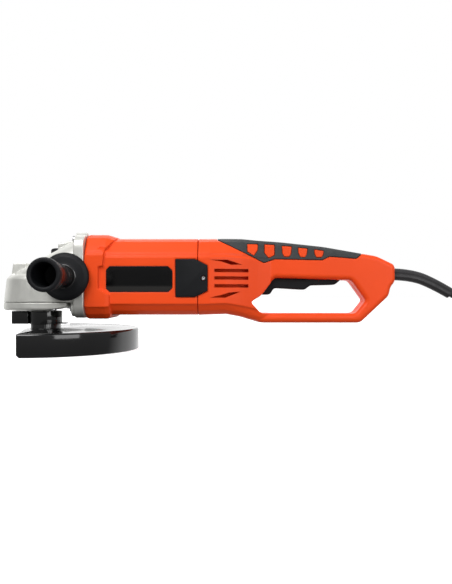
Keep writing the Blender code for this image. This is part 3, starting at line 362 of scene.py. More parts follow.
def inset(points, distance):
    """The closed outline moved inward by distance, or outward if it is negative."""
    area = sum(a[0] * b[1] - b[0] * a[1] for a, b in zip(points, points[1:] + points[:1]))
    side = 1 if area > 0 else -1
    moved = []
    for before, here, after in zip(points[-1:] + points[:-1], points, points[1:] + points[:1]):
        first = (Vector(here) - Vector(before)).normalized()
        second = (Vector(after) - Vector(here)).normalized()
        normal_1 = Vector((-first.y, first.x)) * side
        normal_2 = Vector((-second.y, second.x)) * side
        middle = (normal_1 + normal_2).normalized()
        moved.append(tuple(Vector(here) + middle * distance / max(0.35, middle.dot(normal_1))))
    return moved


def arc(centre, radius, start, end, count):
    """Points on an arc, angles in degrees, both ends included."""
    angles = [math.radians(start + (end - start) * n / (count - 1)) for n in range(count)]
    return [(centre[0] + radius * math.cos(angle), centre[1] + radius * math.sin(angle))
            for angle in angles]


def smooth_route(points, count):
    """Points on a smooth curve through the given points."""
    route = []
    spans = len(points) - 1
    for number in range(count):
        place = number * spans / (count - 1)
        start = min(int(place), spans - 1)
        t = place - start
        p1, p2 = Vector(points[start]), Vector(points[start + 1])
        p0 = Vector(points[start - 1]) if start else 2 * p1 - p2
        p3 = Vector(points[start + 2]) if start + 2 <= spans else 2 * p2 - p1
        route.append(0.5 * (2 * p1 + (p2 - p0) * t + (2 * p0 - 5 * p1 + 4 * p2 - p3) * t * t
                            + (3 * p1 - p0 - 3 * p2 + p3) * t ** 3))
    return route


# ---- materials ----
def put(node, **values):
    """Sets inputs of a node by name, with an underscore for each space."""
    for name, value in values.items():
        node.inputs[name.replace("_", " ")].default_value = value
    return node


def wire(node, output, target, socket):
    node.id_data.links.new(node.outputs[output], target.inputs[socket])


def surface(name, colour, roughness, metallic=0.0, grain=1500.0, bump=0.00002, mottle=0.06,
            patch=25.0, spread=0.06, stretch=(1, 1, 1), coat=0.0, specular=0.5, painted_reflection=None):
    """A procedural finish: a fine grain in the normal, and slow drifts of colour and gloss.

    With a reflection band (low, high, tone) the colour fades to tone from the height high down to
    low: a painted reflection, which makes the part lighter towards its lower edge.
    """
    made = bpy.data.materials.new(name)
    made.use_nodes = True
    nodes = made.node_tree.nodes
    shader = put(nodes["Principled BSDF"], Metallic=metallic, Coat_Weight=coat,
                 Coat_Roughness=0.08, Specular_IOR_Level=specular)
    place = nodes.new("ShaderNodeTexCoord")
    scale = put(nodes.new("ShaderNodeMapping"), Scale=stretch)
    wire(place, "Object", scale, "Vector")

    def noise(size, detail):
        node = put(nodes.new("ShaderNodeTexNoise"), Scale=size, Detail=detail)
        wire(scale, "Vector", node, "Vector")
        return node

    ramp = nodes.new("ShaderNodeValToRGB")
    for element, position, factor in zip(ramp.color_ramp.elements, (0.35, 0.65),
                                         (1 - mottle, 1 + mottle)):
        element.position = position
        element.color = (*(min(1.0, c * factor) for c in colour), 1)
    wire(noise(patch, 4.0), "Fac", ramp, "Fac")
    wire(ramp, "Color", shader, "Base Color")
    # painted reflection: below the given height the colour turns to a lighter tone, standing in for
    # the floor mirrored in the surface
    if painted_reflection:
        low, high, reflection_colour = painted_reflection
        split = nodes.new("ShaderNodeSeparateXYZ")
        wire(place, "Object", split, "Vector")
        fade = put(nodes.new("ShaderNodeMapRange"), From_Min=high, From_Max=low)
        wire(split, "Z", fade, "Value")
        mix = nodes.new("ShaderNodeMix")
        mix.data_type = "RGBA"
        mix.inputs["B"].default_value = (*reflection_colour, 1)
        wire(fade, "Result", mix, "Factor")
        wire(ramp, "Color", mix, "A")
        wire(mix, "Result", shader, "Base Color")
    gloss = put(nodes.new("ShaderNodeMapRange"), From_Min=0.3, From_Max=0.7,
                To_Min=max(0.02, roughness - spread), To_Max=min(1.0, roughness + spread))
    wire(noise(patch * 7, 6.0), "Fac", gloss, "Value")
    wire(gloss, "Result", shader, "Roughness")
    relief = put(nodes.new("ShaderNodeBump"), Strength=0.6, Distance=bump)
    wire(noise(grain, 3.0), "Fac", relief, "Height")
    wire(relief, "Normal", shader, "Normal")
    return made


ORANGE = surface("orange_plastic", (0.90, 0.077, 0.011), 0.40, grain=1700, bump=0.00003,
                 mottle=0.03, patch=14, spread=0.05, specular=0.20)
BLACK = surface("black_plastic", (0.0075, 0.0080, 0.0095), 0.50, grain=2200, bump=0.00004,
                mottle=0.12, patch=40, specular=0.18)
GLOSS = surface("gloss_black", (0.010, 0.009, 0.009), 0.20, grain=240, bump=0.00001,
                mottle=0.1, patch=30, spread=0.04, specular=0.8, coat=0.6)
# the nameplate's lighter strip along its lower edge is a painted reflection of the floor
PLATE = surface("plate_black", (0.0015, 0.0015, 0.0017), 0.16, grain=300, bump=0.000006,
                mottle=0.1, patch=30, spread=0.03, specular=0.30,
                painted_reflection=(0.0765, 0.0790, (0.022, 0.021, 0.020)))
RUBBER = surface("grip_rubber", (0.044, 0.048, 0.050), 0.66, grain=1300, bump=0.00009,
                 mottle=0.10, patch=45, spread=0.10, specular=0.35)
CAST = surface("cast_aluminium", (0.69, 0.69, 0.65), 0.44, metallic=0.64, grain=1500,
               bump=0.00007, mottle=0.07, patch=38, spread=0.09)
PAINT = surface("guard_paint", (0.005, 0.005, 0.0055), 0.10, grain=420, bump=0.000008,
                mottle=0.15, patch=22, spread=0.03, coat=0.3)
STEEL = surface("machined_steel", (0.56, 0.56, 0.57), 0.28, metallic=1.0, grain=900,
                bump=0.00003, mottle=0.08, patch=90, spread=0.08, stretch=(1, 1, 5))
DARK_STEEL = surface("blackened_steel", (0.11, 0.11, 0.115), 0.42, metallic=0.9, grain=1400,
                     bump=0.00004, mottle=0.18, patch=80, spread=0.10)
COPPER = surface("copper", (0.72, 0.30, 0.15), 0.30, metallic=1.0, grain=1800, bump=0.0001,
                 stretch=(1, 4, 4))
BRASS = surface("brass", (0.70, 0.52, 0.22), 0.30, metallic=1.0)
CARBON = surface("carbon", (0.03, 0.03, 0.03), 0.72, grain=2500, bump=0.0001)
WHITE = surface("white_plastic", (0.75, 0.75, 0.72), 0.5)
CORD = surface("cord_rubber", (0.030, 0.029, 0.031), 0.52, grain=1600, bump=0.00005,
               mottle=0.12, patch=60, spread=0.08, specular=0.35)


def dress(piece, finish, body, slot, *nodes):
    """Gives a piece its material and body and hides the CAD nodes that it stands for; the slot is
    not used.
    """
    piece.data.materials.clear()
    piece.data.materials.append(finish)
    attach(piece, body)
    if nodes:
        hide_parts(*nodes)
    return piece


# ---- camera, light and floor ----
LENS_MM = 37.79
CAMERA_AT = (0.2349, -0.800, 0.0707)
LAMPS_AIM = (0.22, 0.0, 0.06)
# name, place, size and power in watts
LAMPS = [("key", (-0.30, -1.00, 1.10), 0.9, 15.5), ("fill", (1.10, -1.30, 0.50), 0.9, 9.0),
         ("back", (0.30, 1.20, 1.10), 1.2, 4.0)]
# for each axis of the direction: its span, and the sky's strength at both ends, which add up
SKY = [("Z", -0.30, 0.90, 0.24, 0.46), ("Y", 0.10, 0.50, 0.0, 0.90)]
FLOOR_GLOW = 0.62


def studio():
    data = bpy.data.cameras.new("camera")
    data.lens = LENS_MM
    camera = make("camera", data)
    camera.location = CAMERA_AT
    camera.rotation_euler = (math.radians(90), 0, 0)
    bpy.context.scene.camera = camera
    bpy.context.scene.view_settings.view_transform = "Standard"

    world = bpy.data.worlds.new("studio")
    bpy.context.scene.world = world
    world.use_nodes = True
    nodes = world.node_tree.nodes
    light = put(nodes["Background"], Color=(1, 1, 1, 1))
    coordinates = nodes.new("ShaderNodeTexCoord")
    split = nodes.new("ShaderNodeSeparateXYZ")
    wire(coordinates, "Generated", split, "Vector")
    # brighter towards the top, and white behind the tool, where the studio's lit backdrop is
    total = nodes.new("ShaderNodeMath")
    for number, (axis, low, high, dark, bright) in enumerate(SKY):
        shade = put(nodes.new("ShaderNodeMapRange"), From_Min=low, From_Max=high, To_Min=dark,
                    To_Max=bright)
        wire(split, axis, shade, "Value")
        wire(shade, "Result", total, number)
    wire(total, "Value", light, "Strength")
    backdrop = put(nodes.new("ShaderNodeBackground"), Color=(1, 1, 1, 1))
    mix = nodes.new("ShaderNodeMixShader")
    wire(nodes.new("ShaderNodeLightPath"), "Is Camera Ray", mix, "Fac")
    wire(light, "Background", mix, 1)
    wire(backdrop, "Background", mix, 2)
    wire(mix, "Shader", nodes["World Output"], "Surface")

    for name, place, size, energy in LAMPS:
        lamp = bpy.data.lights.new(name, "AREA")
        lamp.size = size
        lamp.energy = energy
        source = make(name, lamp)
        source.location = place
        aim = Vector(LAMPS_AIM) - Vector(place)
        source.rotation_euler = aim.to_track_quat("-Z", "Y").to_euler()

    bm = bmesh.new()
    bmesh.ops.create_grid(bm, x_segments=8, y_segments=8, size=6.0)
    bm.transform(Matrix.Translation((0.2, 0, RIM_Z - 0.0001)))
    floor = from_bmesh("floor", bm)
    pale = bpy.data.materials.new("floor_white")
    pale.use_nodes = True
    put(pale.node_tree.nodes["Principled BSDF"], Base_Color=(0.90, 0.90, 0.90, 1), Roughness=0.8,
        Emission_Color=(1, 1, 1, 1), Emission_Strength=FLOOR_GLOW)
    floor.data.materials.append(pale)
    # the floor is seen, but its glow stays off the tool
    floor.visible_diffuse = False
    floor.visible_glossy = False


# ---- cord ----
PITCH = 2 * CORD_R
COIL_IN, COIL_OUT = COIL_MEAN - PITCH, COIL_MEAN + PITCH
COIL_LOW = RIM_Z + GAP + CORD_R  # height of the lowest turn's centre line
COIL_TOP = COIL_LOW + 3 * PITCH  # and of the tail, which lies on three layers
TAIL_TURN = math.radians(TAIL_END)
TAIL_X = COIL_CENTRE[0] + COIL_MEAN * math.cos(TAIL_TURN)
TAIL_Y = COIL_CENTRE[1] + COIL_MEAN * math.sin(TAIL_TURN)
# from the tail to the pins: distance along the plug, half its width and half its height
PLUG_RINGS = [
    (0.0, 0.0056, 0.0056), (0.001, 0.0062, 0.0062), (0.006, 0.0064, 0.0064),
    (0.0065, 0.0056, 0.0056), (0.0080, 0.0056, 0.0056), (0.0085, 0.0068, 0.0066),
    (0.0130, 0.0074, 0.0070), (0.0135, 0.0064, 0.0062), (0.0150, 0.0064, 0.0062),
    (0.0155, 0.0090, 0.0074), (0.0200, 0.0155, 0.0086), (0.0260, 0.0180, 0.0094),
    (0.0400, 0.0184, 0.0095), (0.0445, 0.0180, 0.0093), (0.0460, 0.0165, 0.0082)]


def strain_sleeve():
    sections = []
    route = smooth_route(SLEEVE_ROUTE, 40)
    for number, centre in enumerate(route):
        along = route[min(number + 1, 39)] - route[max(number - 1, 0)]
        up = along.normalized().cross(Vector((0, 1, 0))).normalized() * -1
        share = number / 39
        radius = 0.0079 - 0.0008 * share
        ring = []
        for n in range(48):
            angle = math.tau * n / 48
            # a shallow groove runs along each side
            side = abs(math.cos(angle))
            groove = 0.0011 * max(0.0, 1 - ((1 - side) / 0.05) ** 2) if side > 0.95 else 0.0
            size = radius - groove
            ring.append(centre + Vector((0, 1, 0)) * size * math.cos(angle) * 0.92
                        + up * size * math.sin(angle))
        sections.append(ring)
    collar = turned("sleeve_collar", [(0, 0.4462), (0.0085, 0.4462), (0.0099, 0.4446),
                                      (0.0099, 0.4412), (0, 0.4412)], "X", (0, 0, 0.0937), 48)
    sleeve = join(loft("strain_sleeve", sections), collar)
    sleeve.data.shade_smooth()
    dress(crease(sleeve, 35), CORD, "housing", "cord_rubber", "strain_relief")


def cord_line():
    """The centre line of the whole cord: down to the floor, round the coil and up to the plug."""
    route = [Vector(point) for point in smooth_route(CORD_ROUTE, 22)]
    route += [Vector((0.6000, 0.0, 0.0078)), Vector((0.6080, 0.0, 0.0045))]
    # each leg of the coil: turns, then radius and layer at its two ends
    legs = [(2.0, COIL_OUT, COIL_IN, 0, 0), (0.5, COIL_IN, COIL_IN, 0, 1),
            (2.0, COIL_IN, COIL_OUT, 1, 1), (0.5, COIL_OUT, COIL_OUT, 1, 2),
            (2.0, COIL_OUT, COIL_IN, 2, 2), ((TAIL_END + 90) / 360, COIL_IN, COIL_MEAN, 2, 3)]
    x, y = COIL_CENTRE
    angle = -math.pi / 2
    for turns, radius_1, radius_2, layer_1, layer_2 in legs:
        count = int(turns * 24)
        for number in range(count):
            share = number / count
            radius = radius_1 + (radius_2 - radius_1) * share
            ease = share * share * (3 - 2 * share)
            height = COIL_LOW + PITCH * (layer_1 + (layer_2 - layer_1) * ease)
            route.append(Vector((x + radius * math.cos(angle), y + radius * math.sin(angle),
                                 height)))
            angle += math.tau * turns / count
    return route + [Vector((TAIL_X, TAIL_Y, COIL_TOP))]


def mains_plug():
    """The plug carries on where the tail of the coil ends."""
    centre = COIL_TOP - CORD_R + GAP + 0.0095

    def spot(reach, aside, up=0.0):
        return Vector((TAIL_X - reach * math.sin(TAIL_TURN) + aside * math.cos(TAIL_TURN),
                       TAIL_Y + reach * math.cos(TAIL_TURN) + aside * math.sin(TAIL_TURN),
                       centre + up))

    rings = [[spot(reach + 0.0010, width * math.cos(math.tau * n / 48),
                   tall * math.sin(math.tau * n / 48)) for n in range(48)]
             for reach, width, tall in PLUG_RINGS]
    pieces = [dress(loft("mains_plug", rings), CORD, "housing", "cord_rubber", "plug")]
    for side in (-1, 1):
        pin = turned(f"plug_pin_{side + 2}", rounded(
            [(0, 0.0480), (0.0024, 0.0480), (0.0024, 0.0655), (0.0014, 0.0660), (0, 0.0660)],
            0.0006, False), "X", (0, 0, 0), 24)
        pin.data.transform(Matrix.Translation(spot(0.0, side * 0.0095))
                           @ Matrix.Rotation(math.pi / 2 + TAIL_TURN, 4, "Z"))
        pieces.append(dress(pin, STEEL, "housing", "steel"))
    return pieces


def cord_strap():
    """A strap holds the turns of the coil together."""
    near, far = COIL_IN - CORD_R - 0.0012, COIL_OUT + CORD_R + 0.0012
    low, high = RIM_Z + 0.0001, COIL_TOP - CORD_R + 0.0010
    outline = rounded([(near, low), (far, low), (far, high), (near, high)], 0.0050)
    strap = slab("cord_strap", [outline, inset(outline, 0.0011)], -0.0070, 0.0070, "XZ", 0.0003)
    strap.data.transform(Matrix.Translation((*COIL_CENTRE, 0))
                         @ Matrix.Rotation(math.radians(205), 4, "Z"))
    return dress(strap, RUBBER, "housing", "cord_rubber")


def cord_pieces():
    strain_sleeve()
    route = cord_line()
    curve = bpy.data.curves.new("mains_cord", "CURVE")
    curve.dimensions = "3D"
    curve.bevel_depth = CORD_R
    curve.bevel_resolution = 5
    curve.use_fill_caps = True
    spline = curve.splines.new("POLY")
    spline.points.add(len(route) - 1)
    for spot, place in zip(spline.points, route):
        spot.co = (*place, 1)
    cord = make("mains_cord", curve)
    dress(cord, CORD, "housing", "cord_rubber", "cord", "cord_coil")
    mains_plug() + [cord_strap()]


# ---- motor housing ----
def body_ring(x, width, low, high, inward=0.0):
    """A section of the plastic body: flat sides between two ridges, bevels above and below."""
    width -= inward
    low += inward
    high -= inward
    tall = high - low
    side_low, side_high = low + 0.14 * tall, high - 0.245 * tall
    step = 0.0009
    half = [(0.0, low), (width * 0.62, low), (width * 0.73, low + 0.0010),
            (width * 0.86, low + 0.42 * (side_low - low)), (width - 2 * step, side_low - 0.0008),
            (width, side_low + 0.0006), (width, side_high - 0.0006),
            (width - 1.6 * step, side_high + 0.0008), (width * 0.955, side_high + 0.0045),
            (width * 0.87, side_high + 0.42 * (high - side_high)),
            (width * 0.73, side_high + 0.80 * (high - side_high)),
            (width * 0.58, high - 0.0012), (width * 0.46, high), (0.0, high)]
    ring = [(x, y, z) for y, z in half]
    return ring + [(x, -y, z) for y, z in half[-2:0:-1]]


def motor_housing():
    low, high = 0.042, 0.138
    shell = loft("motor_body", [body_ring(HOUSING_FRONT, 0.0460, low, high),
                                body_ring(HOUSING_BACK, 0.0460, low, high)])
    collar = loft("collar", [body_ring(HOUSING_FRONT, 0.0490, 0.0380, 0.1420),
                             body_ring(HOUSING_FRONT + 0.0030, 0.0500, 0.0370, 0.1430),
                             body_ring(0.0860, 0.0500, 0.0370, 0.1430),
                             body_ring(0.1010, 0.0460, 0.0400, 0.1385)])
    collar = keep(collar, slab("collar_edge", [rounded(COLLAR_OUTLINE, 0.0012)], -0.06, 0.06))
    shell = join(shell, collar)
    tools = [rod("bore", (0.040, 0, MOTOR_Z), (0.1935, 0, MOTOR_Z), MOTOR_BORE, 64)]
    for side in (-1, 1):
        tools.append(slab("facet", [COLLAR_FACET], side * 0.0440, side * 0.0600))
        tools.append(slab("cover_room", [inset(COVER_OUTLINE, -0.0006)], side * 0.0446,
                          side * 0.0600))
        tools.append(slab("plate_room", [inset(PLATE_OUTLINE, -0.0006)], side * 0.0452,
                          side * 0.0600))
        # the collar carries a short mark on each side, where its edge steps back
        y = sorted((side * 0.0492, side * 0.06))
        tools.append(block("notch", (0.0715, y[0], 0.1012), (0.0800, y[1], 0.1024)))
    tools.append(block("brush_window", (BRUSH_X - 0.0080, -0.060, MOTOR_Z - 0.0070),
                       (BRUSH_X + 0.0080, 0.060, MOTOR_Z + 0.0070)))
    for number in range(6):
        angle = math.pi / 3 * number + math.pi / 6
        y, z = 0.0275 * math.cos(angle), MOTOR_Z + 0.0275 * math.sin(angle)
        tools.append(rod("air", (0.185, y, z), (0.210, y, z), 0.0090, 24))
    tools.append(rod("shaft_hole", (0.180, 0, MOTOR_Z), (0.220, 0, MOTOR_Z), 0.0122, 32))
    shell = cut(shell, *tools)
    shell = soften(shell, 0.0007, 5, 0.35)
    dress(shell, ORANGE, "housing", "orange_plastic", "motor_housing")
    seat = turned("bearing_seat", [(0.0118, 0.1940), (0.0140, 0.1940), (0.0140, 0.2085),
                                   (0.0113, 0.2085), (0.0113, 0.1990), (0.0060, 0.1990),
                                   (0.0060, 0.1945)], "X", (0, 0, MOTOR_Z), 64, True, 0.0003)
    dress(seat, ORANGE, "housing", "orange_plastic")


def cross_slots(screw, reach, half, turns, place=Matrix.Identity(4)):
    """Cuts the cross of a screw whose head faces +Y; turns are the angles of its two slots."""
    for turn in turns:
        slot = block("cross", (-reach, 0.0014, -half), (reach, 0.0050, half))
        slot.data.transform(place @ Matrix.Rotation(turn, 4, "Y"))
        screw = cut(screw, slot)
    return screw


def side_plates():
    for side, hand in SIDES:
        plate = slab(f"plate_{hand}", [rounded(PLATE_OUTLINE, 0.0008)], side * 0.0455,
                     side * 0.0465, "XZ", 0.00035)
        dress(plate, PLATE, "housing", "gloss_black_plastic", f"nameplate_{hand}")
        cover = slab(f"cover_{hand}", [rounded(COVER_OUTLINE, 0.0010)], side * 0.0450,
                     side * 0.0475, "XZ", 0.0006)
        x, z = COVER_SCREW
        cover = cut_crisp(cover, rod("screw_room", (x, side * 0.044, z), (x, side * 0.060, z),
                                     0.0031, 32))
        dress(cover, BLACK, "housing", "black_plastic", f"brush_cover_{hand}")
        screw = turned(f"cover_screw_{hand}", [(0, -0.0055), (0.0013, -0.0055), (0.0013, 0.0),
                                               (0.0027, 0.0), (0.0027, 0.0016), (0.0020, 0.0024),
                                               (0, 0.0027)], "Y", (0, 0, 0), 32)
        screw = cross_slots(screw, 0.0019, 0.0003, (0.5, 2.07))
        turn = Matrix.Rotation(math.pi, 4, "Z") if side < 0 else Matrix.Identity(4)
        screw.data.transform(Matrix.Translation((x, side * 0.0452, z)) @ turn)
        dress(screw, STEEL, "housing", "steel", f"brush_cover_screw_{hand}")


# ---- rear handle ----
def handle_form(name, inward=0.0):
    """The solid form of the rear handle, with its hand opening, moved inward all round."""
    outline = rounded(inset(HANDLE_OUTLINE, inward), 0.005)
    opening = rounded(inset(HAND_OPENING, -inward), 0.004)
    form = slab(name, [outline, opening[::-1]], -GRIP_W + inward, GRIP_W - inward, "XZ",
                max(0.0004, 0.0058 - 0.95 * inward), 5)
    front = 0.006 if inward else 0.0
    rings = [body_ring(x - (front if number == 0 else 0), width, low, high, inward)
             for number, (x, width, low, high) in enumerate(NECK_STATIONS)]
    form = join(form, loft(f"{name}_neck", rings))
    return cut(form, slab(f"{name}_opening", [opening], -0.060, 0.060))


def vents(side):
    """Tools for the air slots behind the brush cover and the two slits above and below them."""
    slots = [[(0.2205, z - 0.0021), (0.2630, z - 0.0021), (0.2630, z + 0.0021),
              (0.2205, z + 0.0021)] for z in VENT_SLOTS]
    return [slab("vent", [outline], side * 0.0200, side * 0.0600) for outline in slots + VENTS]


def rear_handle():
    windows = [inset(window, 0.0005)[::-1] for window in INSERT_WINDOWS]
    for side, hand in SIDES:
        shell = handle_form(f"rear_handle_{hand}")
        shell = cut(shell, handle_form("hollow", SHELL))
        room = slab("insert_room", [inset(INSERT_OUTLINE, -0.0006)] + windows, -0.060, 0.060)
        room = cut(room, handle_form("room_inner", 0.0027))
        posts = []
        for x, z, width in HANDLE_SCREWS:
            posts.append(rod("post", (x, side * 0.0004, z), (x, side * (width - 0.0020), z),
                             0.0041, 24))
        x, _, z = TRIGGER_PIVOT
        posts.append(rod("pivot_boss", (x, side * 0.0106, z + 0.001),
                         (x, side * 0.0165, z + 0.001), 0.0052, 24))
        shell = join(shell, *posts)
        shell = cut(shell, room, slab("trigger_slot", [TRIGGER_SLOT], -0.0102, 0.0102))
        y = sorted((side * 0.00025, side * 0.08))
        shell = keep(shell, block("half", (0.15, y[0], 0.0), (0.50, y[1], 0.2)))
        tools = [rod("cord_hole", (0.4455, 0, 0.0937), (0.4700, 0, 0.0937), 0.0091, 48)]
        tools.append(rod("pivot_hole", (x, side * 0.0080, z), (x, side * 0.0145, z), 0.0024, 24))
        tools.append(slab("cover_room", [inset(COVER_OUTLINE, -0.0006)], side * 0.0446,
                          side * 0.0600))
        if side > 0:
            tools += [rod("recess", (x, width - 0.0040, z), (x, 0.060, z), 0.0036, 32)
                      for x, z, width in HANDLE_SCREWS]
        shell = cut(shell, *tools)
        shell = cut_crisp(soften(shell, 0.0007, 4, 0.3), *vents(side))
        dress(shell, ORANGE, "housing", "orange_plastic", f"handle_shell_{hand}")
        y = sorted((side * 0.0185, side * 0.0200))
        liner = block(f"vent_liner_{hand}", (0.2120, y[0], 0.0625), (0.2650, y[1], 0.1115), 0.0005)
        dress(liner, ORANGE, "housing", "orange_plastic")
    grip = slab("rubber_grip", [INSERT_OUTLINE] + [window[::-1] for window in INSERT_WINDOWS],
                -0.060, 0.060)
    grip = keep(grip, handle_form("grip_outer"))
    grip = cut(grip, handle_form("grip_inner", 0.0021))
    grip = soften(grip, 0.0006, 3, 0.4)
    dress(grip, RUBBER, "housing", "grey_rubber", "grip_insert")


def trigger():
    lever = slab("trigger_lever", [rounded(TRIGGER_OUTLINE, 0.0035)], -0.0095, 0.0095, "XZ",
                 0.0018, 4)
    x, _, z = TRIGGER_PIVOT
    lever = join(lever, rod("pegs", (x, -0.0135, z), (x, 0.0135, z), 0.0020, 24))
    dress(crease(lever, 40), BLACK, "trigger_lever", "black_plastic", "trigger")


# ---- gear head ----
def head_plan(inward, back):
    """The round nose and straight sides of the gear head, seen from above."""
    nose = arc((-0.006, 0.0), 0.047 - inward, -90, -270, 41)
    return [(back, -0.047 + inward)] + nose + [(back, 0.047 - inward)]


def head_ring(x, width, low, high):
    """A section of the gear case's cone: an oval with full corners."""
    middle, tall = (low + high) / 2, (high - low) / 2
    ring = []
    for number in range(48):
        angle = math.tau * number / 48
        ring.append((x, width * math.copysign(abs(math.cos(angle)) ** 0.7, math.cos(angle)),
                     middle + tall * math.copysign(abs(math.sin(angle)) ** 0.7,
                                                   math.sin(angle))))
    return ring


def flange_outline(half, corner):
    """A square with round corners about the motor's axis."""
    points = []
    for number, (y, z) in enumerate(((1, 1), (-1, 1), (-1, -1), (1, -1))):
        centre = (y * (half - corner), MOTOR_Z + z * (half - corner))
        points += arc(centre, corner, 90 * number, 90 * number + 90, 9)
    return points


def gear_case():
    case = slab("gearbox_case", [head_plan(0.0, FLANGE_FRONT + 0.0010)], 0.0440, 0.0930, "XY",
                0.0062, 5)
    # the nose leans back above the joint with the cover, more and more towards its top
    for vertex in case.data.vertices:
        rise = max(0.0, vertex.co.z - 0.0580) / 0.035
        vertex.co.x += (0.0028 * rise + 0.0048 * rise ** 4) * max(0.0, 0.02 - vertex.co.x) / 0.073
        vertex.co.y *= 1 - 0.022 * rise - 0.03 * rise ** 4
    parts = [loft("cone", [head_ring(*station) for station in CONE_STATIONS]),
             slab("ridge", [rounded([(0.0205, 0.1100), (0.0205, 0.1325), (0.0415, 0.1376),
                                     (0.0520, 0.1376), (0.0520, 0.1100)], 0.0030)], -0.0190, 0.0190,
                  "XZ", 0.0018, 4),
             slab("flange", [flange_outline(0.0515, 0.016)], FLANGE_FRONT, FLANGE_BACK, "YZ",
                  0.0008)]
    lug = [(-0.0425, 0.0850), (-0.0393, 0.1078), (-0.0220, 0.1082), (-0.0220, 0.0850)]
    parts.append(slab("top_lug", [rounded(lug, 0.0012)], -0.0110, 0.0110, "XZ", 0.0010))
    for side in (-1, 1):
        parts.append(rod("boss", (SIDE_X, side * 0.030, SIDE_Z), (SIDE_X, side * BOSS_Y, SIDE_Z),
                         0.0165, 64))
    case = join(case, *parts)
    case = cut(case, block("seam", (-0.08, -0.08, 0.02), (FLANGE_FRONT - 0.0002, 0.08, 0.0579)))
    lugs = []
    for y, z in CASE_SCREWS:
        front, radius = (0.0468, 0.0085) if z > MOTOR_Z else (0.0445, 0.0105)
        lugs.append(rod("lug", (front, y, z), (FLANGE_BACK, y, z), radius, 48))
    case = join(case, *lugs)
    tools = [block("back", (FLANGE_BACK, -0.080, 0.0), (0.090, 0.080, 0.2)),
             rod("gear_room", (0, 0, 0.050), (0, 0, 0.0895), 0.0410, 64),
             rod("pinion_room", (0.002, 0, MOTOR_Z), (0.0385, 0, MOTOR_Z), 0.0195, 48),
             rod("bearing_seat_front", (0.0380, 0, MOTOR_Z), (0.0700, 0, MOTOR_Z), 0.0165, 48),
             rod("fan_room", (0.0500, 0, MOTOR_Z), (0.0700, 0, MOTOR_Z), MOTOR_BORE, 96),
             rod("top_seat", (0, 0, 0.080), (0, 0, 0.1045), 0.0080, 32),
             rod("lock_bore", (LOCK_X, 0, 0.095), (LOCK_X, 0, 0.140), 0.0027, 24),
             rod("lock_recess", (LOCK_X, 0, 0.1130), (LOCK_X, 0, 0.150), 0.0094, 64)]
    for side in (-1, 1):
        tools.append(rod("thread", (SIDE_X, side * 0.0360, SIDE_Z),
                         (SIDE_X, side * 0.060, SIDE_Z), 0.0072, 32))
    for y, z in CASE_SCREWS:
        tools.append(rod("screw_hole", (0.020, y, z), (0.070, y, z), 0.0030, 16))
        tools.append(rod("screw_recess", (0.020, y, z), (CASE_SEAT, y, z), 0.0057, 32))
    case = cut(case, *tools)
    case = soften(case, 0.0006, 4, 0.35)
    dress(case, CAST, "housing", "cast_aluminium", "gear_case")


def gear_cover():
    cover = slab("gearbox_cover", [head_plan(0.0004, FLANGE_FRONT - 0.0008)], 0.0475, 0.070, "XY",
                 0.0038, 5)
    cover = join(cover, rod("neck", (0, 0, 0.026), (0, 0, 0.052), NECK_R, 64))
    rise = [[(x, y, z) for y, z in ((-0.06, 0.0460), (0.06, 0.0460), (0.06, high), (-0.06, high))]
            for x, high in ((0.010, 0.0479), (0.052, 0.0543))]
    tools = [block("above", (-0.09, -0.09, 0.0574), (0.09, 0.09, 0.090)),
             rod("bore", (0, 0, 0.010), (0, 0, 0.070), 0.0115, 48),
             rod("seat", (0, 0, 0.0487), (0, 0, 0.070), 0.0205, 64),
             loft("rise", rise)]
    for y, z in CASE_SCREWS[2:]:
        tools.append(rod("notch", (0.0385, y, z), (0.0500, y, z), 0.0110, 48))
    for x, y in COVER_SCREWS:
        tools.append(rod("hole", (x, y, 0.040), (x, y, 0.070), 0.0026, 16))
        tools.append(rod("recess", (x, y, 0.040), (x, y, 0.0520), 0.0045, 32))
    cover = cut(cover, *tools)
    cover = soften(cover, 0.0005, 3, 0.4)
    dress(cover, CAST, "housing", "cast_aluminium", "gear_cover")


def socket_screw(name, axis, at, head_r, head_h, shank_r, shank_h):
    """A socket-head screw: at is the seat of its head, and its shank runs along +axis."""
    profile = [(0, shank_h), (shank_r - 0.0004, shank_h), (shank_r, shank_h - 0.0005),
               (shank_r, 0), (head_r, 0), (head_r, -head_h * 0.88), (head_r * 0.9, -head_h),
               (0, -head_h)]
    screw = turned(name, profile, axis, at, 32)
    plane, centre, seat = ("XY", at[:2], at[2]) if axis == "Z" else ("YZ", at[1:], at[0])
    return cut(screw, slab("socket", [arc(centre, head_r * 0.56, 0, 300, 6)],
                           seat - head_h - 0.001, seat - head_h * 0.4, plane))


def head_screws():
    for number, (x, y) in enumerate(COVER_SCREWS):
        screw = socket_screw(f"cover_bolt_{number + 1}", "Z", (x, y, 0.0517), 0.0040, 0.0036,
                             0.0021, 0.0190)
        dress(screw, STEEL, "housing", "steel", f"gear_cover_screw_{number + 1}")
    for number, (y, z) in enumerate(CASE_SCREWS):
        screw = socket_screw(f"case_bolt_{number + 1}", "X", (CASE_SEAT - GAP, y, z), 0.0048,
                             0.0050, 0.0024, 0.0330)
        dress(screw, STEEL, "housing", "steel", f"gear_case_screw_{number + 1}")
    for number, (x, z, width) in enumerate(HANDLE_SCREWS):
        length = 2 * width - 0.0115
        screw = turned(f"handle_bolt_{number + 1}", [
            (0, -length), (0.0011, -length), (0.0015, 0.0006 - length), (0.0015, GAP),
            (0.0033, GAP), (0.0033, 0.0020), (0.0027, 0.0029), (0, 0.0031)], "Y",
            (x, width - 0.0040, z), 32)
        screw = cross_slots(screw, 0.0022, 0.0004, (0.3, 1.87),
                            Matrix.Translation((x, width - 0.0040, z)))
        dress(screw, DARK_STEEL, "housing", "dark_steel", f"handle_screw_{number + 1}")


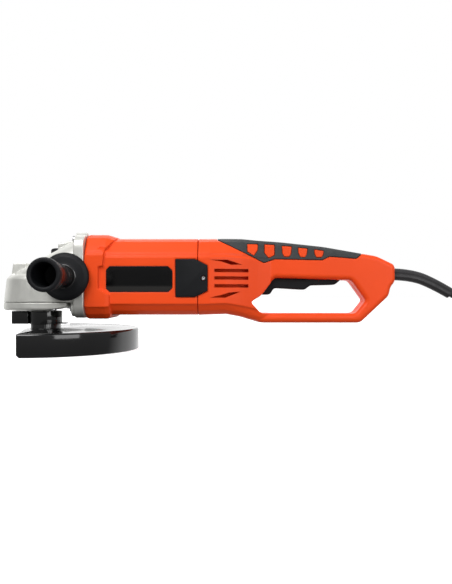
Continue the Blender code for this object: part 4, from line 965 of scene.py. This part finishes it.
def lock_button():
    profile = [(0, 0.1278), (0.0045, 0.1276), (0.0068, 0.1270), (0.0080, 0.1260),
               (0.0086, 0.1245), (0.0087, 0.1180), (0.0070, 0.1180), (0.0070, 0.1232),
               (0.0023, 0.1232), (0.0023, 0.1245), (0, 0.1245)]
    button = turned("lock_button", profile, "Z", (LOCK_X, 0, 0), 64)
    tools = [block("rib", (LOCK_X - 0.006, 0.0022 * number - 0.0004, 0.1271),
                   (LOCK_X + 0.006, 0.0022 * number + 0.0004, 0.1290))
             for number in (-2, -1, 0, 1, 2)]
    dress(cut(button, *tools), BLACK, "lock_plunger", "black_plastic", "spindle_lock_button")


# ---- spindle, guard and side handle ----
def spindle_parts():
    thread = [(0, 0.0), (0.0058, 0.0), (0.0066, 0.0012)]
    for number in range(9):
        z = 0.0014 + 0.0020 * number
        thread += [(0.0066, z), (0.0070, z + 0.0007), (0.0070, z + 0.0011), (0.0066, z + 0.0018)]
    thread += [(0.0070, 0.0195), (0.0098, 0.0195), (0.0098, 0.0480), (0.0082, 0.0480),
               (0.0082, 0.0605), (0.0075, 0.0605), (0.0075, 0.0785), (0.0048, 0.0785),
               (0.0048, 0.1030), (0.0040, 0.1040), (0, 0.1040)]
    dress(turned("threaded_spindle", thread, steps=64), STEEL, "spindle_assembly", "steel",
          "spindle")
    flange = turned("back_flange", [(0.0073, 0.0189), (0.0150, 0.0189), (0.0210, 0.0172),
                                    (0.0210, 0.0126), (0.0110, 0.0126), (0.0110, 0.0109),
                                    (0.0073, 0.0109)], steps=96, ring=True, round_by=0.0004)
    dress(flange, STEEL, "spindle_assembly", "steel", "inner_flange")
    nut = turned("front_nut", [(0.0073, 0.0075), (0.0115, 0.0075), (0.0115, 0.0092),
                               (0.0210, 0.0092), (0.0210, 0.0040), (0.0198, 0.0030),
                               (0.0130, 0.0030), (0.0118, 0.0016), (0.0073, 0.0016)],
                 steps=96, ring=True, round_by=0.0004)
    tools = []
    for number in range(4):
        angle = math.pi / 2 * number + math.pi / 4
        x, y = 0.0160 * math.cos(angle), 0.0160 * math.sin(angle)
        tools.append(rod("pin_hole", (x, y, -0.004), (x, y, 0.0065), 0.0025, 32))
    dress(cut(nut, *tools), DARK_STEEL, "spindle_assembly", "dark_steel", "clamp_nut")


def guard():
    collar_in, collar_out = NECK_R + GAP, NECK_R + GAP + 0.0014
    top, sheet, rim = GUARD_TOP, GUARD_SHEET, RIM_Z
    # the rings just inside the bead keep the shading of the flat top even
    profile = [(collar_in, 0.0460), (collar_out, 0.0460), (collar_out, top),
               (GUARD_R - 0.0060, top), (GUARD_R - 0.0042, top), (GUARD_R - 0.0030, top + 0.0005),
               (GUARD_R - 0.0014, top + 0.0003), (GUARD_R - 0.0003, top - 0.0008),
               (GUARD_R, top - 0.0024), (GUARD_R, rim + 0.0012), (GUARD_R - 0.0004, rim + 0.0003),
               (GUARD_R - 0.0012, rim), (GUARD_R - 0.0021, rim + 0.0004),
               (GUARD_R - 0.0025, rim + 0.0014), (GUARD_R - sheet, rim + 0.0024),
               (GUARD_R - sheet, top - sheet - 0.0015), (GUARD_R - 0.0030, top - sheet - 0.0003),
               (GUARD_R - 0.0045, top - sheet), (GUARD_R - 0.0060, top - sheet),
               (collar_in, top - sheet)]
    cup = turned("guard_cup", profile, steps=240, ring=True)
    front = [(0.0015, -0.135), (0.0015, -0.1165)] + arc((0, 0), 0.0270, -150, -210, 15)
    front += [(0.0015, 0.1165), (0.0015, 0.135), (-0.14, 0.135), (-0.14, -0.135)]
    tools = [slab("guard_front", [front], -0.010, 0.0280, "XY")]
    for side in (-1, 1):
        tools.append(loft("corner", [[(-0.010, y, -0.010), (0.0052, y, -0.010),
                                      (0.0052, y, -0.0035), (-0.010, y, 0.0117)]
                                     for y in sorted((side * 0.100, side * 0.130))]))
    cup = cut(cup, *tools)
    cup = crease(edge_bevel(cup, 0.0004, 2, 50), 40)
    dress(cup, PAINT, "guard", "black_paint", "wheel_guard")

    band_in, band_out = collar_out + GAP, collar_out + GAP + 0.0014
    band = turned("clamp_band", [(band_in, 0.0462), (band_out, 0.0462), (band_out, 0.0296),
                                 (band_in, 0.0296)], steps=96, ring=True, round_by=0.0003)
    band = cut(band, block("slit", (-0.040, -0.0030, 0.020), (-0.010, 0.0030, 0.060)))
    ears = [block("ear", (-0.0412, low, 0.0296), (-0.0200, high, 0.0462), 0.0007)
            for low, high in ((-0.0110, -0.0031), (0.0031, 0.0068))]
    ears.append(block("tab", (0.0195, -0.0060, 0.0296), (0.0275, 0.0060, 0.0312), 0.0004))
    band = join(band, *ears)
    x, z = -0.0330, 0.0378
    band = cut(band, rod("bolt_hole", (x, -0.0095, z), (x, 0.020, z), 0.0029, 24))
    dress(crease(band, 35), PAINT, "guard", "black_paint", "guard_clamp_band")
    bolt = slab("clamp_bolt", [arc((x, z), 0.0050, 0, 300, 6)], 0.0072, 0.0112, "XZ", 0.0005, 2)
    bolt = join(bolt, rod("shank", (x, -0.0090, z), (x, 0.0080, z), 0.0024, 32))
    dress(bolt, DARK_STEEL, "guard", "dark_steel", "guard_clamp_bolt")


def side_handle():
    near = BOSS_Y + GAP
    profile = [(0, 0.0230), (0.0072, 0.0230), (0.0072, 0.0), (0.0240, 0.0), (0.0290, 0.0018),
               (0.0294, 0.0042), (0.0286, 0.0064), (0.0240, 0.0086), (0.0165, 0.0094),
               (0.0135, 0.0104), (0.0121, 0.0150), (0.0121, 0.0190), (0.0128, 0.0270),
               (0.0146, 0.0420), (0.0160, 0.0560), (0.0168, 0.0680), (0.0172, 0.0790),
               (0.0184, 0.0832), (0.0189, 0.0860), (0.0189, 0.0895), (0.0184, 0.0915),
               (0.0172, 0.0925), (0.0150, 0.0925), (0.0137, 0.0918), (0.0132, 0.0900),
               (0.0125, 0.0450), (0, 0.0420)]
    profile = rounded(profile, 0.0008, False, 3)
    grip = turned("side_grip", [(radius, -near - reach) for radius, reach in profile], "Y",
                  (SIDE_X, 0, SIDE_Z), 128)
    dress(crease(grip, 50), GLOSS, "housing", "gloss_black_plastic", "side_handle_grip")
    # the flange, the end ring and the bore are left matt
    grip.data.materials.append(BLACK)
    for face in grip.data.polygons:
        reach = -near - face.center.y
        if reach < 0.0100 or reach > 0.0815 or (reach > 0.0425 and math.hypot(
                face.center.x - SIDE_X, face.center.z - SIDE_Z) < 0.0136):
            face.material_index = 1


# ---- the CAD nodes that stay as they are ----
def inner_parts():
    finishes = (
        (STEEL, ("spindle_lock_pin", "spindle_lock_spring", "pinion", "spindle_bearing",
                 "side_handle_stud", "armature_shaft", "armature_front_bearing",
                 "armature_rear_bearing", "trigger_spring")),
        (DARK_STEEL, ("crown_gear", "armature_core", "stator_core")),
        (BRASS, ("spindle_top_bearing", "brush_holder_left", "brush_holder_right")),
        (CARBON, ("carbon_brush_left", "carbon_brush_right")),
        (COPPER, ("commutator", "field_winding_upper", "field_winding_lower")),
        (BLACK, ("air_baffle", "switch_body")),
        (WHITE, ("cooling_fan",)))
    for finish, names in finishes:
        for name in names:
            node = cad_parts[name]
            node.data.materials.clear()
            node.data.materials.append(finish)


studio()
cord_pieces()
motor_housing()
side_plates()
rear_handle()
trigger()
gear_case()
gear_cover()
head_screws()
lock_button()
spindle_parts()
guard()
side_handle()
inner_parts()
